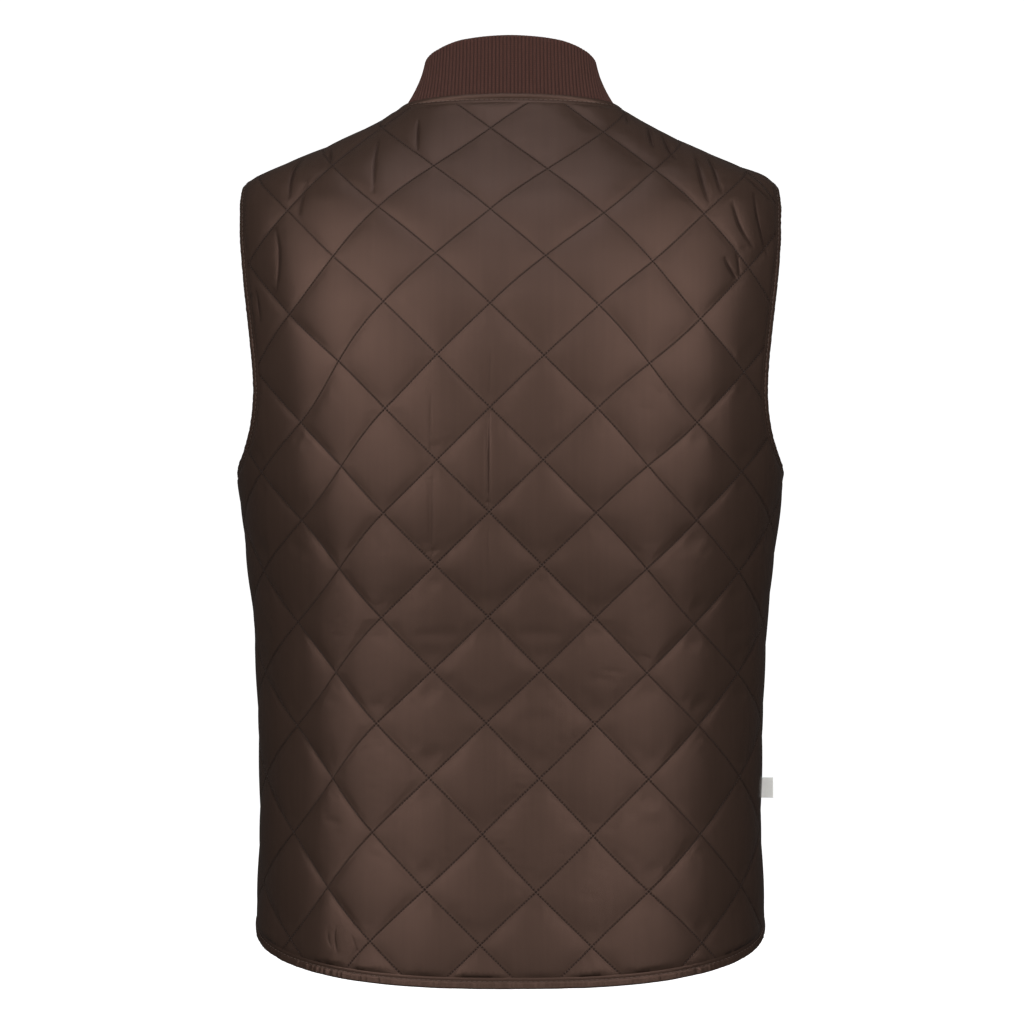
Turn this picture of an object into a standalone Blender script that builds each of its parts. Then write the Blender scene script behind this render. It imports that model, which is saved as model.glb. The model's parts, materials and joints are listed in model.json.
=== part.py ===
"""Quilted gilet with a ribbed stand collar and a zip front, filled out as it is worn.

Metres, +Z up. The wearer faces -Y, so the back panel faces +Y and the wearer's left is +X.
The origin is where the wearer's neck carries the garment: the middle of the neck opening,
level with the top of the shoulder seams.
"""

import math
from collections import namedtuple

import bmesh
import bpy
import numpy as np
from mathutils import Vector
from mathutils.geometry import delaunay_2d_cdt

BACK, FRONT = 1, -1

# Cloth and quilting
WALL = 0.002  # shell, wadding and lining pressed flat at a stitch line
LOFT = 0.003  # how far the middle of a diamond rises above its stitch lines
LOFT_FADE = 0.016  # the wadding thins out over this distance from a panel's edge
OUTLINE_TO_LINING = 0.004  # from the outline that the sections give in to the lining
QUILT_WIDTH = 0.076  # a diamond across
QUILT_HEIGHT = 0.076  # a diamond up and down
BACK_CROSSING = (0.0145, -0.2262)  # across and height of one crossing on the back
FRONT_CROSSING = (0.0450, -0.2400)
QUILT_STEPS = 3  # outer mesh steps along a diamond's side
LINING_STEPS = 2
EDGE_MARGIN = 0.0055  # lattice points nearer than this to a panel's edge are left out
SEAM_GAP = 0.0003

# Cut
SECTION_POWER = 2.4  # squareness of each level ring, where 2 is an ellipse
NECK_SIDE_HEIGHT = -0.005
NECK_BACK_HEIGHT = -0.001
NECK_FRONT_HEIGHT = -0.080
NECK_CURVE = 1.4
HEM_SIDE_HEIGHT = -0.5945  # lower edge of the panels, above the hem band
HEM_BACK_DROP = 0.0362
HEM_FRONT_DROP = 0.0230
HEM_CURVE = 2.8
FRONT_EDGE = 0.007  # from the centre of the zip to each front
BAND_WIDTH = 0.007
HEM_BAND_WIDTH = 0.008
BAND_HEIGHT = 0.0024

# Level sections of the outside, from the neck down to below the hem
Section = namedtuple("Section", "height half_width back_depth front_depth")
SECTIONS = (
    Section(0.012, 0.0690, 0.0260, 0.0340),
    Section(0.002, 0.0790, 0.0320, 0.0410),
    Section(-0.0045, 0.0872, 0.0365, 0.0450),
    Section(-0.017, 0.1072, 0.0455, 0.0515),
    Section(-0.032, 0.1384, 0.0570, 0.0590),
    Section(-0.047, 0.1730, 0.0680, 0.0660),
    Section(-0.055, 0.1922, 0.0735, 0.0697),
    Section(-0.063, 0.2008, 0.0790, 0.0735),
    Section(-0.078, 0.2056, 0.0880, 0.0800),
    Section(-0.110, 0.2088, 0.1015, 0.0940),
    Section(-0.150, 0.2094, 0.1125, 0.1065),
    Section(-0.210, 0.2076, 0.1195, 0.1170),
    Section(-0.273, 0.2037, 0.1205, 0.1205),
    Section(-0.330, 0.1970, 0.1165, 0.1195),
    Section(-0.390, 0.1911, 0.1110, 0.1165),
    Section(-0.450, 0.1885, 0.1090, 0.1150),
    Section(-0.520, 0.1870, 0.1115, 0.1160),
    Section(-0.580, 0.1888, 0.1165, 0.1185),
    Section(-0.650, 0.1925, 0.1220, 0.1215),
)

# Panel edge round the armhole in side view, from the underarm up to the shoulder
ArmholeRow = namedtuple("ArmholeRow", "height back_reach front_reach")
ARMHOLE = (
    ArmholeRow(-0.2800, 0.0000, 0.0000),
    ArmholeRow(-0.2690, 0.0360, 0.0380),
    ArmholeRow(-0.2500, 0.0555, 0.0590),
    ArmholeRow(-0.2220, 0.0640, 0.0680),
    ArmholeRow(-0.1900, 0.0635, 0.0690),
    ArmholeRow(-0.1500, 0.0560, 0.0630),
    ArmholeRow(-0.1100, 0.0440, 0.0510),
    ArmholeRow(-0.0800, 0.0325, 0.0385),
    ArmholeRow(-0.0620, 0.0200, 0.0240),
    ArmholeRow(-0.0535, 0.0000, 0.0000),
)

# Uneven sewing: how far the back's quilt lines stray from even ones, at five places across
STRAY_PLACES = np.array([0.1665, 0.0905, 0.0145, -0.0615, -0.1375])
StrayRow = namedtuple("StrayRow", "height far_left left middle right far_right")
STRAY_ACROSS = (
    StrayRow(-0.063, -0.0020, 0.0057, 0.0000, -0.0064, -0.0040),
    StrayRow(-0.150, -0.0040, 0.0000, 0.0000, -0.0014, 0.0000),
    StrayRow(-0.226, -0.0130, -0.0014, 0.0000, 0.0000, 0.0024),
    StrayRow(-0.303, -0.0130, 0.0000, 0.0007, 0.0009, 0.0023),
    StrayRow(-0.379, -0.0080, 0.0020, 0.0014, 0.0014, 0.0036),
    StrayRow(-0.454, -0.0070, 0.0056, 0.0028, 0.0014, 0.0000),
    StrayRow(-0.570, 0.0000, 0.0100, 0.0070, 0.0040, -0.0030),
)
STRAY_UP = (
    StrayRow(-0.063, -0.0035, -0.0040, -0.0065, -0.0100, -0.0070),
    StrayRow(-0.150, -0.0080, 0.0000, -0.0016, -0.0030, -0.0120),
    StrayRow(-0.226, -0.0100, -0.0007, 0.0000, -0.0007, -0.0105),
    StrayRow(-0.303, -0.0040, 0.0012, 0.0019, 0.0012, -0.0040),
    StrayRow(-0.379, -0.0020, 0.0020, 0.0030, 0.0020, -0.0030),
    StrayRow(-0.454, -0.0010, 0.0020, 0.0030, 0.0020, 0.0000),
    StrayRow(-0.570, -0.0030, -0.0010, -0.0025, -0.0040, -0.0040),
)

# Rib collar round the neck, from the middle of the back (0) to the zip (180 degrees)
CollarRow = namedtuple("CollarRow", "angle rise lean")
COLLAR = (
    CollarRow(0, 0.0463, 0.0080),
    CollarRow(25, 0.0441, 0.0088),
    CollarRow(46, 0.0382, 0.0110),
    CollarRow(62, 0.0334, 0.0128),
    CollarRow(75, 0.0308, 0.0138),
    CollarRow(90, 0.0300, 0.0140),
    CollarRow(135, 0.0305, 0.0100),
    CollarRow(172, 0.0300, 0.0050),
    CollarRow(180, 0.0230, 0.0040),
)
COLLAR_THICKNESS = 0.0038
COLLAR_HOLLOW = 0.0013  # how far the collar bows in between its seam and its top
RIB_COUNT = 168
RIB_HEIGHT = 0.0009
LINING_RIBS = 4  # ribs to each step of the plain inside

# Zip, with heights above the lining
TAPE_WIDTH = 0.0034
TAPE_LEVELS = (0.0006, 0.0014)
CHAIN_WIDTH = 0.0056
CHAIN_LEVELS = (-0.0002, 0.0024)
CHAIN_TOP = -0.0830
CHAIN_BOTTOM = -0.6150
SLIDER_PLACE = -0.0950
SLIDER_LENGTH = 0.011
SLIDER_WIDTH = 0.0085
SLIDER_TAPER = 0.80  # width at the lower end, as a share of the upper
SLIDER_LEVELS = (0.0027, 0.0042)
BAIL_LENGTH = 0.008
BAIL_WIDTH = 0.0016
BAIL_BAR = 0.0010
BAIL_HOLE = 0.0018
PULL_PIVOT = 0.0012  # below the middle of the slider
PULL_LENGTH = 0.027
PULL_WIDTH = 0.0064
PULL_THICKNESS = 0.0010
PULL_EYE_WIDTH = 0.0024
PULL_EYE_LENGTH = 0.0035
BOX_SIZE = (0.0078, 0.0090)
BOX_LEVELS = (-0.0006, 0.0030)

# Woven tab in the wearer's right side seam
TAB_HEIGHT = -0.505
TAB_SIZE = (0.0095, 0.0010, 0.0150)

# Sample counts along the seams
HEM_SAMPLES = 16
SIDE_SAMPLES = 22
ARMHOLE_SAMPLES = 20
SHOULDER_SAMPLES = 9
NECK_BACK_SAMPLES = 10
NECK_FRONT_SAMPLES = 12
ZIP_SAMPLES = 34
RING_SAMPLES = 181

MATERIALS = {
    "shell_brown": ((0.060, 0.036, 0.027), 0.45, 0.0),
    "rib_brown": ((0.068, 0.031, 0.024), 0.90, 0.0),
    "zip_tape_brown": ((0.045, 0.028, 0.022), 0.85, 0.0),
    "zip_teeth_brown": ((0.050, 0.030, 0.023), 0.40, 0.0),
    "zip_metal": ((0.180, 0.130, 0.085), 0.35, 1.0),
    "tab_white": ((0.780, 0.760, 0.700), 0.85, 0.0),
}


def clear_scene():
    for obj in list(bpy.data.objects):
        bpy.data.objects.remove(obj)


def material(name):
    found = bpy.data.materials.get(name)
    if found is None:
        colour, roughness, metallic = MATERIALS[name]
        found = bpy.data.materials.new(name)
        found.use_nodes = True
        shader = found.node_tree.nodes["Principled BSDF"]
        shader.inputs["Base Color"].default_value = (*colour, 1)
        shader.inputs["Roughness"].default_value = roughness
        shader.inputs["Metallic"].default_value = metallic
    return found


def add_object(name, points, faces, material_name):
    mesh = bpy.data.meshes.new(name)
    mesh.from_pydata([tuple(map(float, p)) for p in points], [], faces)
    work = bmesh.new()
    work.from_mesh(mesh)
    bmesh.ops.recalc_face_normals(work, faces=work.faces)
    work.to_mesh(mesh)
    work.free()
    mesh.shade_smooth()
    mesh.set_sharp_from_angle(angle=math.radians(40))
    mesh.materials.append(material(material_name))
    obj = bpy.data.objects.new(name, mesh)
    bpy.context.scene.collection.objects.link(obj)
    return obj


def mirrored(points):
    return np.asarray(points) * (-1, 1, 1)


def smooth_table(rows, column, at, key=0):
    """A table's column at any place along its key, on a cubic that doesn't overshoot the rows."""
    table = sorted((row[key], getattr(row, column)) for row in rows)
    x, y = np.array(table).T
    step, slope = np.diff(x), np.diff(y) / np.diff(x)
    turn = slope[:-1] * slope[1:] > 0
    mean = 2 * slope[:-1] * slope[1:] / np.where(turn, slope[:-1] + slope[1:], 1)
    tangent = np.concatenate([slope[:1], np.where(turn, mean, 0), slope[-1:]])
    at = np.clip(at, x[0], x[-1])
    i = np.clip(np.searchsorted(x, at) - 1, 0, len(step) - 1)
    t = (at - x[i]) / step[i]
    return (
        y[i] * (1 + 2 * t) * (1 - t) ** 2
        + tangent[i] * step[i] * t * (1 - t) ** 2
        + y[i + 1] * t * t * (3 - 2 * t)
        + tangent[i + 1] * step[i] * t * t * (t - 1)
    )


# The lining surface of the worn garment

def half_width(height):
    return smooth_table(SECTIONS, "half_width", height) - OUTLINE_TO_LINING


def depth(height, side):
    column = "back_depth" if side == BACK else "front_depth"
    return smooth_table(SECTIONS, column, height) - OUTLINE_TO_LINING


def ring(height, side):
    """Points of a level ring, from the middle of that side out to the side seam, and their run."""
    turn = np.linspace(0, math.pi / 2, RING_SAMPLES)
    x = half_width(height) * np.sin(turn) ** (2 / SECTION_POWER)
    y = side * depth(height, side) * np.cos(turn) ** (2 / SECTION_POWER)
    run = np.concatenate([[0], np.cumsum(np.hypot(np.diff(x), np.diff(y)))])
    return x, y, run


def quarter(height, side):
    """Cloth from the middle of that side to the side seam, at one height."""
    return ring(height, side)[2][-1]


def across_at_x(x, height, side):
    ring_x, _, run = ring(height, side)
    return float(np.interp(x, ring_x, run))


def across_at_reach(reach, height, side):
    """Cloth from the middle to the place that lies this far behind or before the side seam."""
    _, ring_y, run = ring(height, side)
    return float(np.interp(reach, np.abs(ring_y)[::-1], run[::-1]))


def profile(side):
    """Heights and the run of cloth up the middle of the back or front."""
    heights = np.linspace(SECTIONS[-1].height, SECTIONS[0].height, 400)
    deep = depth(heights, side)
    run = np.concatenate([[0], np.cumsum(np.hypot(np.diff(heights), np.diff(deep)))])
    return heights, run


PROFILES = {BACK: profile(BACK), FRONT: profile(FRONT)}


def up_at(height, side):
    heights, run = PROFILES[side]
    return np.interp(height, heights, run)


def height_at(up, side):
    heights, run = PROFILES[side]
    return np.interp(up, run, heights)


def surface_point(across, height, side):
    x, y, run = ring(height, side)
    at = abs(across)
    return np.array([math.copysign(np.interp(at, run, x), across), np.interp(at, run, y), height])


def surface_normal(point, side):
    """Outward direction, from the gradient of the ring's formula."""
    nudge = 0.0005
    x, y, z = point
    a, b = half_width(z), depth(z, side)
    a_slope = (half_width(z + nudge) - half_width(z - nudge)) / (2 * nudge)
    b_slope = (depth(z + nudge, side) - depth(z - nudge, side)) / (2 * nudge)
    px, py = abs(x / a), abs(y / b)
    up = -(px**SECTION_POWER * a_slope / a + py**SECTION_POWER * b_slope / b)
    gradient = np.array(
        [
            math.copysign(px ** (SECTION_POWER - 1) / a, x),
            math.copysign(py ** (SECTION_POWER - 1) / b, side),
            up,
        ]
    )
    return gradient / np.linalg.norm(gradient)


def lifted(flat, level, side):
    """World points of flat cloth points (across, up), each moved out from the lining by its level."""
    made = []
    for (across, up), out in zip(flat, level):
        point = surface_point(across, float(height_at(up, side)), side)
        made.append(point + out * surface_normal(point, side))
    return np.array(made)


# Seam lines as (across, height) on one side of the garment, for x above 0

def neck_line(side, count):
    """Panel edge at the neck, from the middle out to the shoulder seam."""
    middle = NECK_BACK_HEIGHT if side == BACK else NECK_FRONT_HEIGHT
    widest = half_width(NECK_SIDE_HEIGHT)
    start = 0 if side == BACK else math.asin(FRONT_EDGE / widest)
    line = []
    for turn in np.linspace(start, math.pi / 2, count):
        share = math.cos(turn) ** NECK_CURVE
        height = NECK_SIDE_HEIGHT + (middle - NECK_SIDE_HEIGHT) * share
        line.append((across_at_x(widest * math.sin(turn), height, side), height))
    return line


def shoulder_line(side):
    """Shoulder seam, from the neck out to the armhole."""
    heights = np.linspace(NECK_SIDE_HEIGHT, ARMHOLE[-1].height, SHOULDER_SAMPLES)
    return [(quarter(h, side), h) for h in heights]


def armhole_line(side):
    """Panel edge at the armhole, from the shoulder down to the underarm, at even steps."""
    column = "back_reach" if side == BACK else "front_reach"
    rows = [(getattr(row, column), row.height) for row in reversed(ARMHOLE)]
    corners = np.array(rows)
    before, after = corners[1] * (-1, 1), corners[-2] * (-1, 1)
    padded = np.vstack([before, corners, after])
    fine = []
    for i in range(1, len(padded) - 2):
        for t in np.linspace(0, 1, 20, endpoint=False):
            fine.append(catmull_rom(padded[i - 1 : i + 3], t))
    fine = np.array([*fine, corners[-1]])
    run = np.concatenate([[0], np.cumsum(np.linalg.norm(np.diff(fine, axis=0), axis=1))])
    at = np.linspace(0, run[-1], ARMHOLE_SAMPLES)
    reach, height = (np.interp(at, run, fine[:, k]) for k in (0, 1))
    return [(across_at_reach(r, h, side), h) for r, h in zip(reach, height)]


def catmull_rom(four, t):
    a, b, c, d = four
    return 0.5 * (
        2 * b + (c - a) * t + (2 * a - 5 * b + 4 * c - d) * t**2 + (3 * b - a - 3 * c + d) * t**3
    )


def side_line(side):
    """Side seam, from the underarm down to the hem."""
    heights = np.linspace(ARMHOLE[0].height, HEM_SIDE_HEIGHT, SIDE_SAMPLES)
    return [(quarter(h, side), h) for h in heights]


def hem_line(side):
    """Panel edge at the hem, from the side seam to the middle."""
    drop = HEM_BACK_DROP if side == BACK else HEM_FRONT_DROP
    widest = quarter(HEM_SIDE_HEIGHT, side)
    end = 0 if side == BACK else FRONT_EDGE
    line = []
    for across in np.linspace(widest, end, HEM_SAMPLES):
        line.append((across, HEM_SIDE_HEIGHT - drop * (1 - (across / widest) ** HEM_CURVE)))
    return line


def half_outline(side):
    """One half of a panel's edge, from the middle of the neck round to the middle of the hem."""
    neck_count = NECK_BACK_SAMPLES if side == BACK else NECK_FRONT_SAMPLES
    pull_in = SEAM_GAP / 2
    neck = neck_line(side, neck_count)
    shoulder = [(across - pull_in, h) for across, h in shoulder_line(side)]
    armhole = armhole_line(side)
    seam = [(across - pull_in, h) for across, h in side_line(side)]
    return neck[:-1] + shoulder + armhole[1:-1] + seam + hem_line(side)[1:]


def flat_outline(side):
    """A panel's edge laid flat as (across, up): the whole back, or the wearer's left front."""
    half = [(across, float(up_at(h, side))) for across, h in half_outline(side)]
    if side == BACK:
        return np.array(half + [(-across, up) for across, up in half[-2:0:-1]])
    bottom, top = half[-1], half[0]
    rise = np.linspace(bottom[1], top[1], ZIP_SAMPLES)[1:-1]
    return np.array(half + [(FRONT_EDGE, up) for up in rise])


# Quilted panels

def distance_to_edge(points, outline):
    """How far each point lies inside a closed outline, below 0 where it is outside."""
    start, end = outline, np.roll(outline, -1, axis=0)
    along = end - start
    nearest = np.full(len(points), np.inf)
    inside = np.zeros(len(points), bool)
    for a, b, d in zip(start, end, along):
        share = np.clip(((points - a) @ d) / (d @ d), 0, 1)
        nearest = np.minimum(nearest, np.linalg.norm(points - a - share[:, None] * d, axis=1))
        spans = (a[1] > points[:, 1]) != (b[1] > points[:, 1])
        with np.errstate(divide="ignore", invalid="ignore"):
            cross = a[0] + (points[:, 1] - a[1]) * d[0] / d[1]
        inside ^= spans & (points[:, 0] < cross)
    return np.where(inside, nearest, -nearest)


def stray(even, side):
    """How far the quilt's lines are moved, across and up, at even places on the flat cloth."""
    if side == FRONT:
        return np.zeros_like(even)
    heights = height_at(even[:, 1], side)
    across = np.clip(even[:, :1], STRAY_PLACES[-1], STRAY_PLACES[0])
    away = np.abs(across - STRAY_PLACES) / QUILT_WIDTH
    share = 0.5 + 0.5 * np.cos(math.pi * np.clip(away, 0, 1))
    moved = []
    for rows in (STRAY_ACROSS, STRAY_UP):
        columns = [smooth_table(rows, name, heights) for name in StrayRow._fields[1:]]
        moved.append((share * np.stack(columns, axis=1)).sum(axis=1))
    return np.stack(moved, axis=1)


def quilt_lattice(outline, crossing, steps, side):
    """Flat points on a diamond lattice inside an outline, their even places, and the stitched edges."""
    low, high = outline.min(axis=0) - crossing, outline.max(axis=0) - crossing
    span = int(max(abs(low).max(), abs(high).max()) / min(QUILT_WIDTH, QUILT_HEIGHT) * 2 + 2) * steps
    index = np.array([(i, j) for i in range(-span, span + 1) for j in range(-span, span + 1)])
    share = index / steps
    even = np.stack(
        [
            crossing[0] + QUILT_WIDTH * (share[:, 0] + share[:, 1]) / 2,
            crossing[1] + QUILT_HEIGHT * (share[:, 0] - share[:, 1]) / 2,
        ],
        axis=1,
    )
    points = even + stray(even, side)
    box = ((points > outline.min(axis=0)) & (points < outline.max(axis=0))).all(axis=1)
    points, even, index = points[box], even[box], index[box]
    kept = distance_to_edge(points, outline) > EDGE_MARGIN
    points, even, index = points[kept], even[kept], index[kept]
    number = {tuple(ij): n for n, ij in enumerate(index)}
    stitched = []
    for (i, j), n in number.items():
        for on_line, ahead in ((i % steps == 0, (i, j + 1)), (j % steps == 0, (i + 1, j))):
            if on_line and ahead in number:
                stitched.append((n, number[ahead]))
    return points, even, stitched


def loft_at(points, even, outline, crossing):
    """Height of the quilting above the lining: the wall at a stitch line, full in a diamond's middle."""
    u = (even[:, 0] - crossing[0]) / QUILT_WIDTH
    v = (even[:, 1] - crossing[1]) / QUILT_HEIGHT
    swell = np.abs(np.sin(math.pi * (u + v)) * np.sin(math.pi * (u - v))) ** 0.6
    share = np.clip(distance_to_edge(points, outline) / LOFT_FADE, 0, 1)
    return WALL + LOFT * swell * share * share * (3 - 2 * share)


def triangulated(outline, inner, edges):
    """Triangles over an outline through the inner points, which keep the edges given."""
    count = len(outline)
    points = [Vector(p) for p in np.vstack([outline, inner])]
    shifted = [(a + count, b + count) for a, b in edges]
    found = delaunay_2d_cdt(points, shifted, [list(range(count))], 1, 1e-7)
    origin = [min(ids) for ids in found[3]]
    return [[origin[i] for i in face] for face in found[2]]


def quilted_wall(side, crossing_place):
    """Points and faces of a quilted panel: raised diamonds outside, a plain lining inside."""
    outline = flat_outline(side)
    crossing = np.array([crossing_place[0], float(up_at(crossing_place[1], side))])
    outer, even, stitched = quilt_lattice(outline, crossing, QUILT_STEPS, side)
    inner, _, _ = quilt_lattice(outline, crossing, LINING_STEPS, side)
    flat_out = np.vstack([outline, outer])
    level = np.concatenate([np.full(len(outline), WALL), loft_at(outer, even, outline, crossing)])
    points_out = lifted(flat_out, level, side)
    flat_in = np.vstack([outline, inner])
    points_in = lifted(flat_in, np.zeros(len(flat_in)), side)
    faces = triangulated(outline, outer, stitched)
    shift = len(points_out)
    faces += [[i + shift for i in reversed(face)] for face in triangulated(outline, inner, [])]
    count = len(outline)
    for i in range(count):
        j = (i + 1) % count
        faces.append([j, i, i + shift, j + shift])
    return np.vstack([points_out, points_in]), faces


# Narrow pieces swept along a line on the surface

def line_frames(places, closed):
    """Points, outward directions and sideways directions along a line of (across, height, side)."""
    points = np.array([surface_point(a, h, s) for a, h, s in places])
    normals = np.array([surface_normal(p, s) for p, (_, _, s) in zip(points, places)])
    if closed:
        along = np.roll(points, -1, axis=0) - np.roll(points, 1, axis=0)
    else:
        along = np.gradient(points, axis=0)
    sideways = np.cross(normals, along)
    return points, normals, sideways / np.linalg.norm(sideways, axis=1)[:, None]


def swept(points, normals, sideways, section, closed):
    """Points and faces of a section of (sideways, outward) corners carried along a line."""
    count, corners = len(points), len(section)
    made = [p + e * b + h * n for p, n, b in zip(points, normals, sideways) for e, h in section]
    faces = []
    for i in range(count if closed else count - 1):
        j = (i + 1) % count
        for k in range(corners):
            m = (k + 1) % corners
            faces.append([i * corners + k, i * corners + m, j * corners + m, j * corners + k])
    if not closed:
        faces.append(list(range(corners)))
        faces.append([(count - 1) * corners + k for k in reversed(range(corners))])
    return np.array(made), faces


def band_section(width):
    """A turned and topstitched edge: flat beside the panel and rounded at the outside."""
    near, far = SEAM_GAP, width
    return (
        (near, 0.0),
        (near, WALL + 0.0002),
        (near + 0.0012, BAND_HEIGHT),
        (far - 0.0012, BAND_HEIGHT),
        (far, BAND_HEIGHT / 2),
        (far - 0.0012, -0.0002),
    )


def armhole_loop():
    back = [(a, h, BACK) for a, h in armhole_line(BACK)]
    front = [(a, h, FRONT) for a, h in armhole_line(FRONT)]
    return back + front[-2:0:-1]


def open_loop(back, front):
    """A line from the wearer's left front edge round the back to the right front edge."""
    left = [(a, h, FRONT) for a, h in front] + [(a, h, BACK) for a, h in back[1:]]
    return left + [(-a, h, s) for a, h, s in left[-2::-1]]


def neck_loop():
    back = neck_line(BACK, NECK_BACK_SAMPLES)[::-1]
    return open_loop(back, neck_line(FRONT, NECK_FRONT_SAMPLES))


def hem_loop():
    return open_loop(hem_line(BACK), hem_line(FRONT)[::-1])


def add_bands():
    points, normals, sideways = line_frames(armhole_loop(), closed=True)
    made, faces = swept(points, normals, -sideways, band_section(BAND_WIDTH), closed=True)
    add_object("armhole_band_left", made, faces, "shell_brown")
    add_object("armhole_band_right", mirrored(made), faces, "shell_brown")
    points, normals, sideways = line_frames(neck_loop(), closed=False)
    made, faces = swept(points, normals, sideways, band_section(BAND_WIDTH), closed=False)
    add_object("neck_band", made, faces, "shell_brown")
    points, normals, sideways = line_frames(hem_loop(), closed=False)
    made, faces = swept(points, normals, -sideways, band_section(HEM_BAND_WIDTH), closed=False)
    add_object("hem_band", made, faces, "shell_brown")


# Rib collar

def collar_seam(count):
    """Outside of the collar's seam beside the neck band, evenly spaced, with its angle round the neck."""
    points, normals, sideways = line_frames(neck_loop(), closed=False)
    seam = points + (BAND_WIDTH + SEAM_GAP) * sideways + BAND_HEIGHT / 2 * normals
    run = np.concatenate([[0], np.cumsum(np.linalg.norm(np.diff(seam, axis=0), axis=1))])
    at = np.linspace(0, run[-1], count)
    even = np.stack([np.interp(at, run, seam[:, k]) for k in range(3)], axis=1)
    front = np.linspace(180, 90, NECK_FRONT_SAMPLES)
    back = np.linspace(90, 0, NECK_BACK_SAMPLES)[1:]
    half = np.concatenate([front, back])
    return even, np.interp(at, run, np.concatenate([half, half[-2::-1]]))


def collar_frame(seam, angles):
    """The way the collar stands up and the way it faces out, all along its seam."""
    along = np.gradient(seam, axis=0)
    inward = np.cross((0, 0, 1), along)
    inward /= np.linalg.norm(inward, axis=1)[:, None]
    rise = smooth_table(COLLAR, "rise", angles)[:, None]
    lean = smooth_table(COLLAR, "lean", angles)[:, None]
    stand = rise * np.array([0, 0, 1]) + lean * inward
    out = np.cross(along, stand)
    return stand, out / np.linalg.norm(out, axis=1)[:, None]


def add_collar():
    columns = 2 * RIB_COUNT + 1
    seam, angles = collar_seam(columns)
    stand, out = collar_frame(seam, angles)
    half = COLLAR_THICKNESS / 2
    rib = (RIB_HEIGHT * (np.arange(columns) % 2))[:, None]
    base = seam - (half + RIB_HEIGHT) * out

    def row(share, offset):
        bow = -COLLAR_HOLLOW * 4 * share * (1 - share)
        return base + share * stand + (offset + bow) * out

    outer = [row(0, half + rib), row(0.5, half + rib), row(0.94, half + rib), row(1.0, 0.6 * rib)]
    step = 2 * LINING_RIBS
    coarse = np.arange(0, columns, step)
    lining = [row(0.94, -half)[coarse], row(0.45, -half)[coarse], row(0, -half)[coarse]]
    points = np.vstack(outer + lining)
    fine = [np.arange(columns) + columns * r for r in range(len(outer))]
    first = columns * len(outer)
    plain = [np.arange(len(coarse)) + first + len(coarse) * r for r in range(len(lining))]
    faces = []
    for lower, upper in [*zip(fine, fine[1:]), *zip(plain, plain[1:])]:
        for i in range(len(lower) - 1):
            faces.append([lower[i], lower[i + 1], upper[i + 1], upper[i]])
    faces += fans(fine[-1], plain[0], step) + fans(fine[0], plain[-1], step)
    for end in (0, -1):
        faces.append([row_ids[end] for row_ids in fine + plain])
    faces = [[int(i) for i in face] for face in faces]
    add_object("collar_rib", points, faces, "rib_brown")


def fans(fine, coarse, step):
    """Triangles between a finely and a coarsely divided edge."""
    faces = []
    for c in range(len(coarse) - 1):
        start = c * step
        middle = start + step // 2
        for i in range(start, start + step):
            faces.append([fine[i], fine[i + 1], coarse[c if i < middle else c + 1]])
        faces.append([fine[middle], coarse[c], coarse[c + 1]])
    return faces


# Zip

def zip_frames(top, bottom):
    """Points down the middle of the front, with the outward and downward directions there."""
    heights = np.linspace(top, bottom, ZIP_SAMPLES)
    points = np.array([surface_point(0.0, h, FRONT) for h in heights])
    normals = np.array([surface_normal(p, FRONT) for p in points])
    return points, normals


def zip_strip(name, left, right, levels, material_name):
    points, normals = zip_frames(CHAIN_TOP, CHAIN_BOTTOM)
    sideways = np.tile((1.0, 0.0, 0.0), (len(points), 1))
    low, high = levels
    section = ((left, low), (left, high), (right, high), (right, low))
    made, faces = swept(points, normals, sideways, section, closed=False)
    add_object(name, made, faces, material_name)


def add_zip_strips():
    inner = CHAIN_WIDTH / 2 + SEAM_GAP
    outer = inner + TAPE_WIDTH
    zip_strip("zip_chain", -CHAIN_WIDTH / 2, CHAIN_WIDTH / 2, CHAIN_LEVELS, "zip_teeth_brown")
    zip_strip("zip_tape_left", inner, outer, TAPE_LEVELS, "zip_tape_brown")
    zip_strip("zip_tape_right", -outer, -inner, TAPE_LEVELS, "zip_tape_brown")


def zip_axes(height):
    """Place on the lining at the zip, and the outward and downward directions there."""
    place = surface_point(0.0, height, FRONT)
    out = surface_normal(place, FRONT)
    down = np.cross(out, (-1.0, 0.0, 0.0))
    return place, out, down if down[2] < 0 else -down


def placed(corners, height):
    """World points of (across, down, out) corners at a height on the zip."""
    place, out, down = zip_axes(height)
    return [place + np.array((x, 0, 0)) + d * down + o * out for x, d, o in corners]


def prism(lower, upper):
    """Faces between two loops of equal length, closed at both ends. The upper loop's points follow."""
    count = len(lower)
    faces = [[i, (i + 1) % count, (i + 1) % count + count, i + count] for i in range(count)]
    return faces + [list(range(count)), list(range(count, 2 * count))]


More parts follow.
